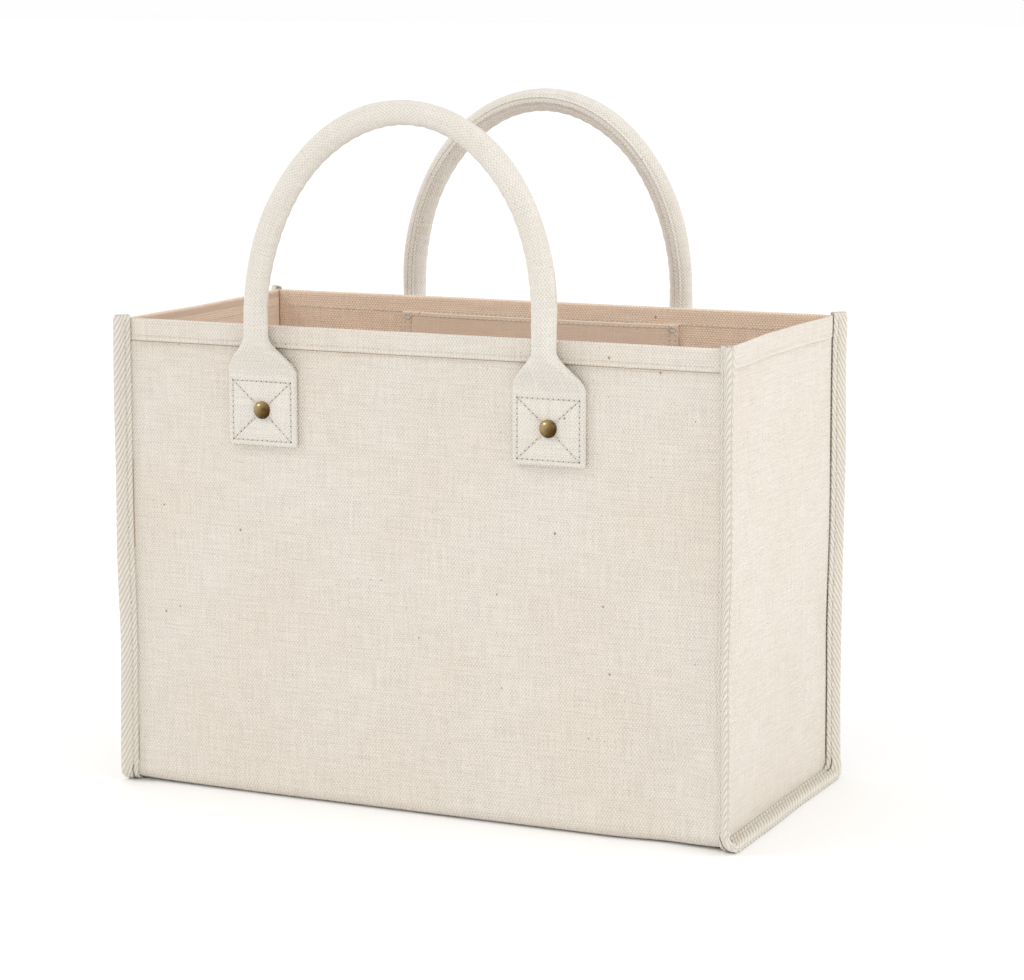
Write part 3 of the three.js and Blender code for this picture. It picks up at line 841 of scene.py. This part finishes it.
def hem_stitches():
    """A row of stitches through each wall's hem, on its outer and its inner face."""
    outside, inside = HEM_FACE - HEM_GROOVE, CLOTH_MID - SHEET / 2
    walls = (
        ("front", -1, HALF_WIDTH, HALF_DEPTH, 300, [0, 1, 2]),
        ("back", 1, HALF_WIDTH, HALF_DEPTH, 300, [0, 1, 2]),
        ("left", -1, HALF_DEPTH, HALF_WIDTH, 150, [1, 0, 2]),
        ("right", 1, HALF_DEPTH, HALF_WIDTH, 150, [1, 0, 2]),
    )
    for name, side, reach, wall, count, order in walls:
        end = reach - HEM_STITCH_MARGIN
        along = np.linspace(-end, end, count)
        height = np.full(count, RIM - HEM_STITCH)
        outer = wall + CLOTH_MID + (outside - CLOTH_MID) * squeeze(reach - np.abs(along))
        inner = np.full(count, wall + inside)
        rows = []
        for level, facing in ((outer, side), (inner, -side)):
            row = np.stack([along, side * level, height], 1)[:, order]
            rows.append((row, np.array([0, facing, 0])[order]))
        finish_piece(stitches(name + "_hem_stitches", rows), "root", "canvas")


# ---- Slip pocket -----------------------------------------------------------------------
POCKET_FACE = POCKET_HIGH[1] - POCKET_CLOTH / 2
POCKET_HALF = (POCKET_HIGH[0] - POCKET_LOW[0]) / 2
POCKET_MIDDLE = (POCKET_HIGH[0] + POCKET_LOW[0]) / 2
POCKET_GAPE = 4.6 * MM


def pocket_depth(x, z):
    """How far the pocket's cloth stands off the panel: nothing at its sewn edges, and most at the mouth."""
    sewn = 7.5 * MM
    across = np.clip(1 - (np.abs(x) / (POCKET_HALF - sewn)) ** 4, 0, 1)
    rise = smooth(POCKET_LOW[2] + sewn, POCKET_HIGH[2] + 25 * MM, z)
    lopsided = 0.75 + 0.35 * smooth(-POCKET_HALF, POCKET_HALF, x)
    return POCKET_GAPE * across * rise * lopsided


def inner_pocket():
    """The pocket's cloth, with its mouth folded to the back."""
    top = POCKET_HIGH[2]
    fold = 0.45 * MM
    behind = np.stack([np.linspace(top - 9 * MM, top - 2 * fold, 5), np.full(5, 2 * fold)], 1)
    over = arc((top - 2 * fold, fold), fold, math.pi / 2, -math.pi / 2, 7)
    down = np.stack([np.linspace(top - 1.5 * MM, POCKET_LOW[2], 52), np.zeros(52)], 1)
    path = np.concatenate([behind, over, down])
    run = lengths_to(path)
    x = np.linspace(-POCKET_HALF, POCKET_HALF, 90)
    z, back = path[:, 0][:, None], path[:, 1][:, None]
    hug = 0.35 * MM * smooth(POCKET_HALF - 8 * MM, POCKET_HALF - 1 * MM, np.abs(x))[None, :]
    y = POCKET_FACE - pocket_depth(x[None, :], z) + back - hug
    points = np.stack(np.broadcast_arrays(x[None, :] + POCKET_MIDDLE, y, z), -1)
    uv = np.stack(np.broadcast_arrays(x[None, :], run[:, None]), -1)
    piece = new_piece("slip_pocket", settle(points), grid_faces(*points.shape[:2]), POCKET_CANVAS, uv)
    thicken(piece, 0.75 * MM)
    finish_piece(piece, "root", "pocket_canvas", "inner_pocket")


def pocket_stitches():
    """Two rows round the sewn edges, one under the mouth, and bar tacks at its ends."""
    rows = []

    def add_row(xs, zs):
        at_edge = np.abs(xs) > POCKET_HALF - 7 * MM
        y = POCKET_FACE - pocket_depth(xs, zs) - POCKET_CLOTH / 2 - 0.3 * MM * at_edge
        rows.append((np.stack([xs + POCKET_MIDDLE, y, zs], 1), (0, -1, 0)))

    low, top = POCKET_LOW[2] + 1.8 * MM, POCKET_HIGH[2] - 2.3 * MM
    for inset in (1.8 * MM, 5.8 * MM):
        for side in (-1, 1):
            z = np.linspace(low, POCKET_HIGH[2] - 1 * MM, 80)
            add_row(np.full(80, side * (POCKET_HALF - inset)), z)
        x = np.linspace(-POCKET_HALF + inset, POCKET_HALF - inset, 100)
        add_row(x, np.full(100, POCKET_LOW[2] + inset))
    x = np.linspace(-POCKET_HALF + 2 * MM, POCKET_HALF - 2 * MM, 200)
    add_row(x, np.full(200, top))
    for side in (-1, 1):
        for lift in (0.6 * MM, 1.2 * MM, 3.4 * MM, 4.0 * MM):
            x = side * np.linspace(POCKET_HALF - 6 * MM, POCKET_HALF - 1.5 * MM, 8)
            add_row(x, np.full(8, POCKET_HIGH[2] - lift - 0.6 * MM))
    finish_piece(stitches("pocket_stitches", rows), "root", "pocket_canvas")


# ---- Handles ---------------------------------------------------------------------------
AROUND = 96
SPLIT_HEIGHT = 252 * MM  # between the fold above the tab and the bend at the rim
TAB_BOTTOM = TAB_LOW[2]
TOP_ROW = FOLD_HEIGHT - 1.2 * MM
BOX_INSET = 3.0 * MM
SHOULDER, WAIST = RIM - 27 * MM, RIM - 5 * MM


def ring_shape(width, thickness, corner):
    """AROUND points evenly along a rounded rectangle, from the middle of its back, turning towards +first."""
    corner = min(corner, width / 2, thickness / 2)
    a, b = width / 2 - corner, thickness / 2 - corner
    outline = [np.array([[0, -thickness / 2]])]
    for x, y, start in ((a, -b, -0.5), (a, b, 0.0), (-a, b, 0.5), (-a, -b, 1.0)):
        outline.append(arc((x, y), corner, start * math.pi, (start + 0.5) * math.pi, 25))
    outline.append(np.array([[0, -thickness / 2]]))
    points = np.concatenate(outline)
    lengths = lengths_to(points)
    at = np.linspace(0, lengths[-1], AROUND, endpoint=False)
    return np.stack([np.interp(at, lengths, points[:, k]) for k in range(2)], 1), at


def near_box_stitch(x, z):
    """Distance on a tab's face to its box stitch and the cross inside it, with x from the tab's middle."""
    left, right = -TAB_WIDTH / 2 + BOX_INSET, TAB_WIDTH / 2 - BOX_INSET
    low, high = TAB_BOTTOM + BOX_INSET, TOP_ROW
    corners = {"a": (left, low), "b": (right, low), "c": (right, high), "d": (left, high)}
    nearest = np.full(np.shape(x), 1.0)
    for first, last in ("ab", "bc", "cd", "da", "ac", "bd"):
        start, end = np.array(corners[first]), np.array(corners[last])
        run = end - start
        t = np.clip(((x - start[0]) * run[0] + (z - start[1]) * run[1]) / (run @ run), 0, 1)
        gap = np.hypot(x - start[0] - t * run[0], z - start[1] - t * run[1])
        nearest = np.minimum(nearest, gap)
    return nearest


def handle_leg(z):
    """At a height on a leg: the strip's width, thickness, corner radius and distance from the middle."""
    share = float(smooth(SHOULDER, WAIST, z) ** 1.12)
    width = mix(TAB_WIDTH, TUBE, share)
    thickness = mix(TAB_THICKNESS, TUBE, share**0.85)
    corner = mix(1.3 * MM, TUBE / 2, share**0.6)
    over_hem = float(smooth(SHOULDER, RIM - HEM - 2 * MM, z))
    back = mix(PANEL_FACE + CLEARANCE, TUBE_CENTRE - TUBE / 2, over_hem)
    end = float(1 - smooth(TAB_BOTTOM, TAB_BOTTOM + 0.8 * MM, z))
    return width - 1.4 * MM * end, thickness - 1.6 * MM * end, corner, back + thickness / 2


def arch(turn, skew):
    """A point of a handle's centre line above its legs, and the direction out of the arch there."""
    rise = ARCH_TOP - LEAN_HEIGHT
    x = HALF_SPAN * math.cos(turn) + skew * math.sin(turn)
    along = np.array([HALF_SPAN * math.sin(turn) - skew * math.cos(turn), 0, -rise * math.cos(turn)])
    outward = np.array([-along[2], 0, along[0]]) / np.linalg.norm(along)
    return np.array([x, -TUBE_CENTRE, LEAN_HEIGHT + rise * math.sin(turn)]), outward


def handle_grid(prefix, facing):
    """A handle's points, normals and weave, ring by ring from one tab to the other, and its two cuts."""
    leg = np.concatenate(
        [
            TAB_BOTTOM + np.array([0, 0.25, 0.8]) * MM,
            np.arange(TAB_BOTTOM + 1.6 * MM, SPLIT_HEIGHT - 0.4 * MM, 1.0 * MM),
            [SPLIT_HEIGHT],
            np.arange(SPLIT_HEIGHT + 1.2 * MM, LEAN_HEIGHT - 0.5 * MM, 1.3 * MM),
        ]
    )
    turns = np.linspace(math.pi, 0, 135)
    stations = [("leg", z, -1) for z in leg]
    stations += [("arch", turn, 0) for turn in turns]
    stations += [("leg", z, 1) for z in leg[::-1]]
    points, weave, run, before = [], [], 0.0, None
    for kind, value, end in stations:
        if kind == "leg":
            width, thickness, corner, middle = handle_leg(value)
            centre, outward = np.array([end * HALF_SPAN, -middle, value]), np.array([end, 0, 0], float)
        else:
            width = thickness = TUBE
            corner, middle = TUBE / 2, TUBE_CENTRE
            centre, outward = arch(value, -facing * SKEW[prefix])
        shape, at = ring_shape(width, thickness, corner)
        run += 0.0 if before is None else float(np.linalg.norm(centre - before))
        before = centre
        ring = centre + shape[:, :1] * outward + shape[:, 1:] * np.array([0, -1.0, 0])
        bulge = surface_detail(kind, shape, at, width, thickness, centre[2], run)
        direction = shape / np.maximum(np.linalg.norm(shape, axis=1, keepdims=True), 1e-9)
        if kind == "leg" and value < SHOULDER + 12 * MM:
            flat = 1 - float(smooth(SHOULDER, SHOULDER + 12 * MM, value))
            face = np.stack([np.zeros(AROUND), np.sign(shape[:, 1])], 1)
            direction = mix(direction, face, flat)
        ring += bulge[:, None] * (direction[:, :1] * outward + direction[:, 1:] * np.array([0, -1.0, 0]))
        points.append(ring)
        around = at - (at[-1] + at[1]) / 2
        weave.append(np.stack([around, np.full(AROUND, run)], 1))
    points, weave = np.array(points), np.array(weave)
    tangent_round = np.roll(points, -1, axis=1) - np.roll(points, 1, axis=1)
    tangent_along = np.gradient(points, axis=0)
    normals = np.cross(tangent_round, tangent_along)
    normals /= np.maximum(np.linalg.norm(normals, axis=2, keepdims=True), 1e-12)
    centres = points.mean(axis=1, keepdims=True)
    outwards = np.sign(((points - centres) * normals).sum(axis=(1, 2)))
    normals *= np.sign(outwards.sum())
    cuts = [i for i, s in enumerate(stations) if s[0] == "leg" and abs(s[1] - SPLIT_HEIGHT) < 1e-9]
    if facing > 0:
        spin = np.array([-1, -1, 1])
        points, normals = points * spin, normals * spin
    return points + [SHIFT[prefix], 0, 0], normals, weave, cuts


def surface_detail(kind, shape, at, width, thickness, z, run):
    """How far the surface stands off the plain section: a tab's quilting, a tube's lapped seam, creases."""
    front = shape[:, 1] > thickness * 0.2
    bulge = np.zeros(AROUND)
    if kind == "leg" and z < SHOULDER + 2 * MM:
        distance = near_box_stitch(shape[:, 0], z)
        edge = np.minimum(width / 2 - np.abs(shape[:, 0]), z - TAB_BOTTOM)
        puff = 0.5 * MM * (1 - bump_at(distance, 0, 2.4 * MM))
        puff -= 0.25 * MM * bump_at(distance, 0, 0.6 * MM)
        from_rivet = np.hypot(shape[:, 0], z - RIVET_HEIGHT)
        rivet = 0.9 * MM * bump_at(from_rivet, 0, RIVET_RADIUS * 1.2)
        fade = float(1 - smooth(SHOULDER - 1 * MM, SHOULDER + 2 * MM, z))
        bulge += np.where(front, (puff - rivet) * smooth(0, 1.6 * MM, edge), 0) * fade
    tube = 1.0 if kind == "arch" else float(smooth(SHOULDER + 8 * MM, WAIST, z))
    if tube > 0:
        lap = 2.3 * MM
        total = at[-1] + at[1]
        off = np.minimum(at, total - at)
        ridge = 0.55 * MM * (1 - smooth(lap - 0.5 * MM, lap + 0.3 * MM, off))
        crease = -0.35 * MM * bump_at(off, lap + 0.5 * MM, 0.45 * MM)
        inner_curve = smooth(0.2, 0.95, -shape[:, 0] / (TUBE / 2)) if kind == "arch" else 0
        folds = 0.16 * MM * np.sin(run * 2 * math.pi / (8.3 * MM) + 0.8 * np.sin(run * 31)) * inner_curve
        uneven = 0.16 * MM * np.sin(run * 83 + at * 300) + 0.12 * MM * np.sin(run * 39 + 1.3)
        bulge += tube * (ridge + crease + folds + uneven)
    if kind == "leg":
        lift = float(bump_at(z, mix(SHOULDER, WAIST, 0.42), 8 * MM))
        bulge += np.where(front, -0.7 * MM * lift * bump_at(shape[:, 0], 0, 3.2 * MM), 0)
    return bulge


def unwrapped(mesh, at_corners):
    """Mends the weave on the faces that close a tube, which would run back across the whole of it."""
    starts = np.empty(len(mesh.polygons), int)
    totals = np.empty(len(mesh.polygons), int)
    mesh.polygons.foreach_get("loop_start", starts)
    mesh.polygons.foreach_get("loop_total", totals)
    quads = starts[totals == 4]
    across = at_corners[quads[:, None] + np.arange(4), 0]
    torn = across.max(axis=1) - across.min(axis=1) > 15 * MM
    mended = np.where((across < 0) & torn[:, None], -across, across)
    at_corners[quads[:, None] + np.arange(4), 0] = mended
    return at_corners


def handle_piece(name, points, normals, weave):
    """A closed stretch of a handle, with the whole handle's normals so that the stretches meet unseen."""
    rings = len(points)
    faces = grid_faces(rings, AROUND, closed=True)
    faces.append(list(range(AROUND))[::-1])
    faces.append([(rings - 1) * AROUND + k for k in range(AROUND)])
    a, b, c = points[0, 0], points[0, 1], points[1, 1]
    inward = np.dot(np.cross(b - a, c - a), normals[0, 0]) < 0
    faces = [f[::-1] for f in faces] if inward else faces
    piece = new_piece(name, points, faces, HANDLE_CANVAS, weave, unwrapped)
    mesh = piece.data
    flat_normals = normals.reshape(-1, 3)
    given = []
    for polygon in mesh.polygons:
        cap = len(polygon.vertices) > 4
        for vertex in polygon.vertices:
            given.append(tuple(polygon.normal) if cap else tuple(flat_normals[vertex]))
    mesh.normals_split_custom_set(given)
    return piece


def bends_at_rim(piece):
    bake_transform(piece)


def handle(prefix, facing):
    """A handle as three stretches: two flat ends that fold above their tabs, and the tube between."""
    points, normals, weave, cuts = handle_grid(prefix, facing)

    def stretch(name, start, stop):
        return handle_piece(name, points[start:stop], normals[start:stop], weave[start:stop])

    sides = ("right", "left") if facing > 0 else ("left", "right")
    for side, start, stop in ((sides[0], 0, cuts[0] + 1), (sides[1], cuts[1], len(points))):
        piece = stretch(f"{prefix}_{side}_handle_end", start, stop)
        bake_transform(piece)
        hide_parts(f"{prefix}_{side}_tab", f"{prefix}_{side}_neck")
    tube = stretch(f"{prefix}_handle_tube", cuts[0], cuts[1] + 1)
    bends_at_rim(tube)
    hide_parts(f"{prefix}_grip_cover")
    handle_seam_stitches(prefix, points, normals, cuts)


def handle_seam_stitches(prefix, points, normals, cuts):
    """Two rows along the lapped seam that faces the bag."""
    start, stop = cuts[0] + 12, cuts[1] - 11
    columns = (3, AROUND - 3)
    rows = [(points[start:stop, c], normals[start:stop, c]) for c in columns]
    name = prefix + "_handle_seam_stitches"
    piece = stitches(name, rows, bent=False, pitch=3.0 * MM, thread=0.26 * MM)
    bends_at_rim(piece)


def tab_stitches(prefix, facing, side_name, x_middle):
    """The box, its cross, and the two short rows that run on up to the shoulders."""
    y = facing * (PANEL_FACE + CLEARANCE + TAB_THICKNESS - 0.1 * MM)
    left, right = -TAB_WIDTH / 2 + BOX_INSET, TAB_WIDTH / 2 - BOX_INSET
    low, high = TAB_BOTTOM + BOX_INSET, TOP_ROW
    lines = [
        ((left, low), (right, low)),
        ((right, low), (right, high + 3 * MM)),
        ((right, high), (left, high)),
        ((left, low), (left, high + 3 * MM)),
    ]
    clear = RIVET_RADIUS + 0.6 * MM
    middle = np.array([0, RIVET_HEIGHT])
    for corner in ((left, low), (right, low), (left, high), (right, high)):
        start = np.array(corner)
        reach = np.linalg.norm(middle - start)
        lines.append((tuple(start), tuple(start + (middle - start) * (1 - clear / reach))))
    rows = []
    for start, end in lines:
        line = np.linspace(start, end, 20)
        row = np.stack([x_middle + line[:, 0], np.full(20, y), line[:, 1]], 1)
        rows.append((row, (0, facing, 0)))
    name = f"{prefix}_{side_name}_tab_stitches"
    piece = stitches(name, rows, bent=False, pitch=STITCH_PITCH, thread=0.27 * MM, hole=1.5)
    finish_piece(piece, "root", "handle_canvas")


def rope(prefix, facing):
    """Three strands laid up round the handle's middle, hidden inside its tube."""
    strand, lay, pitch, sides, steps = 2.5 * MM, 2.8 * MM, 40 * MM, 10, 150
    rise = ARCH_TOP - LEAN_HEIGHT
    first = math.asin(20 * MM / rise)
    turns = np.linspace(math.pi - first, first, steps)
    places = [arch(turn, -facing * SKEW[prefix]) for turn in turns]
    centre, outward = (np.array(rows) for rows in zip(*places))
    aside = np.array([0, -1.0, 0])
    run = lengths_to(centre)
    points, faces, uv = [], [], []
    ring = np.linspace(0, 2 * math.pi, sides, endpoint=False)
    for k in range(3):
        phase = run * 2 * math.pi / pitch + k * 2 * math.pi / 3
        axis = centre + lay * (np.cos(phase)[:, None] * outward + np.sin(phase)[:, None] * aside)
        first_point = sum(len(p) for p in points)
        tube = axis[:, None] + strand * (
            np.cos(ring)[None, :, None] * outward[:, None] + np.sin(ring)[None, :, None] * aside
        )
        points.append(tube.reshape(-1, 3))
        uv.append(np.stack(np.broadcast_arrays(ring[None, :] * strand, run[:, None]), -1).reshape(-1, 2))
        faces += [[first_point + i for i in quad] for quad in grid_faces(steps, sides, closed=True)]
        faces.append([first_point + i for i in reversed(range(sides))])
        faces.append([first_point + (steps - 1) * sides + i for i in range(sides)])
    points = np.concatenate(points)
    if facing > 0:
        points = points * [-1, -1, 1]
    points = points + [SHIFT[prefix], 0, 0]
    piece = new_piece(prefix + "_handle_rope", points, faces, ROPE, np.concatenate(uv))
    finish_piece(piece, f"{prefix}_handle_grip", "rope_core", f"{prefix}_grip_core")


# ---- Rivets ----------------------------------------------------------------------------
def lathe(name, profile, axis_place, facing, material, segments=40):
    """Turns rows of (radius, height) about an axis along Y, with heights towards facing."""
    turn = np.linspace(0, 2 * math.pi, segments, endpoint=False)
    points = []
    for radius, height in profile:
        for t in turn:
            points.append((radius * math.cos(t), facing * height, radius * math.sin(t)))
    faces = grid_faces(len(profile), segments, closed=True)
    faces.append([k for k in reversed(range(segments))])
    faces.append([(len(profile) - 1) * segments + k for k in range(segments)])
    faces = [f[::-1] for f in faces] if facing > 0 else faces
    return new_piece(name, np.array(points) + np.array(axis_place), faces, material)


def rivet(prefix, side_name, facing, x):
    """A domed cap with its post on the tab, and the button that closes it inside the bag."""
    node = f"{prefix}_{side_name}_rivet_cap"
    low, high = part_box(node)
    face = PANEL_FACE + CLEARANCE + TAB_THICKNESS - 0.45 * MM
    outer = max(abs(low[1]), abs(high[1])) - face
    grip = face - min(abs(low[1]), abs(high[1]))
    dome_turns = np.linspace(0, math.pi / 2, 9)
    foot = 0.9 * MM  # where the dome starts
    dome = [
        (RIVET_RADIUS * 0.93 * math.cos(turn), foot + (outer - foot) * math.sin(turn))
        for turn in dome_turns[:-1]
    ]
    profile = [
        (1.7 * MM, -grip),
        (1.8 * MM, -grip + 0.3 * MM),
        (1.8 * MM, 0),
        (RIVET_RADIUS * 0.97, 0),
        (RIVET_RADIUS, 0.25 * MM),
        (RIVET_RADIUS, 0.6 * MM),
        (RIVET_RADIUS * 0.97, 0.82 * MM),
        *dome,
        (0.25 * MM, outer),
    ]
    at_face = (x, facing * face, RIVET_HEIGHT)
    cap = lathe(f"{prefix}_{side_name}_rivet_dome", profile, at_face, facing, BRASS)
    finish_piece(cap, "root", "rivet_brass", node)
    node = f"{prefix}_{side_name}_rivet_back"
    low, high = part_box(node)
    radius = (high[0] - low[0]) / 2
    level, tip = max(abs(low[1]), abs(high[1])), min(abs(low[1]), abs(high[1]))
    height = level - tip
    profile = [
        (radius * 0.9, 0),
        (radius, 0.15 * MM),
        (radius, height * 0.35),
        (radius * 0.93, height * 0.62),
        (radius * 0.74, height * 0.86),
        (radius * 0.46, height * 0.98),
        (radius * 0.4, height * 0.9),
        (radius * 0.1, height * 0.84),
    ]
    at_level = (x, facing * level, RIVET_HEIGHT)
    back = lathe(f"{prefix}_{side_name}_rivet_button", profile, at_level, -facing, BRASS)
    finish_piece(back, "root", "rivet_brass", node)


# ---- Making the bag --------------------------------------------------------------------
body_cloth()
for side_word, side_sign in (("left", -1), ("right", 1)):
    gusset_cloth(side_word + "_gusset_cloth", side_word + "_gusset", side_sign)
    edge_tape(side_word + "_edge_tape", side_word + "_binding", side_sign)
    edge_stitches(side_word + "_edge_stitches", side_sign)
hem_stitches()
inner_pocket()
pocket_stitches()
for prefix_word, facing_sign in (("front", -1), ("back", 1)):
    handle(prefix_word, facing_sign)
    rope(prefix_word, facing_sign)
    for side_word, side_sign in (("left", -1), ("right", 1)):
        leg_place = SHIFT[prefix_word] + side_sign * HALF_SPAN
        tab_stitches(prefix_word, facing_sign, side_word, leg_place)
        rivet(prefix_word, side_word, facing_sign, leg_place)


# ---- Floor, light and camera -----------------------------------------------------------
def floor_material():
    g = Graph("studio floor")
    place_in = g.add("ShaderNodeTexCoord", output=3)
    tint = g.noise(place_in, 3, 2)
    g.set(Base_Color=g.blend(tint, (0.985, 0.985, 0.985, 1), (1.0, 1.0, 1.0, 1)), Roughness=0.85)
    g.set(Specular_IOR_Level=0.1)
    return g.material


def add_lamp(light, towards, place_at=(0, 0, 0)):
    lamp = bpy.data.objects.new(light.name, light)
    lamp.location = place_at
    lamp.rotation_euler = towards.to_track_quat("-Z", "Y").to_euler()
    bpy.context.scene.collection.objects.link(lamp)


def studio():
    """A white floor and sky, a soft sun from the front left and a softbox on the right."""
    size = 30.0
    corners = [(-size, -size, 0), (size, -size, 0), (size, size, 0), (-size, size, 0)]
    floor = new_piece("studio_floor", corners, [[0, 1, 2, 3]], floor_material())

    world = bpy.data.worlds.new("studio")
    world.use_nodes = True
    background = world.node_tree.nodes["Background"]
    background.inputs["Color"].default_value = (1.0, 1.0, 1.0, 1)
    background.inputs["Strength"].default_value = 0.99
    bpy.context.scene.world = world

    box = bpy.data.lights.new("fill", "AREA")
    box.size = 1.2
    box.energy = 12
    place_at, middle = Vector((2.4, -0.2, 1.1)), Vector((0, 0, RIM / 2))
    add_lamp(box, middle - place_at, place_at)
    sun = bpy.data.lights.new("key", "SUN")
    sun.energy = 0.5
    sun.angle = math.radians(11)
    add_lamp(sun, Vector((0.62, 0.42, -0.66)))
    bpy.context.scene.view_settings.view_transform = "Standard"


def camera():
    """The view that was fitted to the photo, from the bag's middle out."""
    azimuth, elevation = math.radians(24.37), math.radians(9.55)
    distance, right_shift, up_shift = 1.718, 0.0169, 0.0343
    level = math.cos(elevation)
    back = Vector((math.sin(azimuth) * level, -math.cos(azimuth) * level, math.sin(elevation)))
    right = Vector((math.cos(azimuth), math.sin(azimuth), 0))
    up = back.cross(right)
    data = bpy.data.cameras.new("camera")
    data.sensor_width = 36
    data.lens = 105.961
    lens = bpy.data.objects.new("camera", data)
    lens.matrix_world = Matrix((right, up, back)).transposed().to_4x4()
    lens.location = Vector((0, 0, RIM / 2)) + back * distance + right * right_shift + up * up_shift
    bpy.context.scene.collection.objects.link(lens)
    bpy.context.scene.camera = lens


studio()
camera()
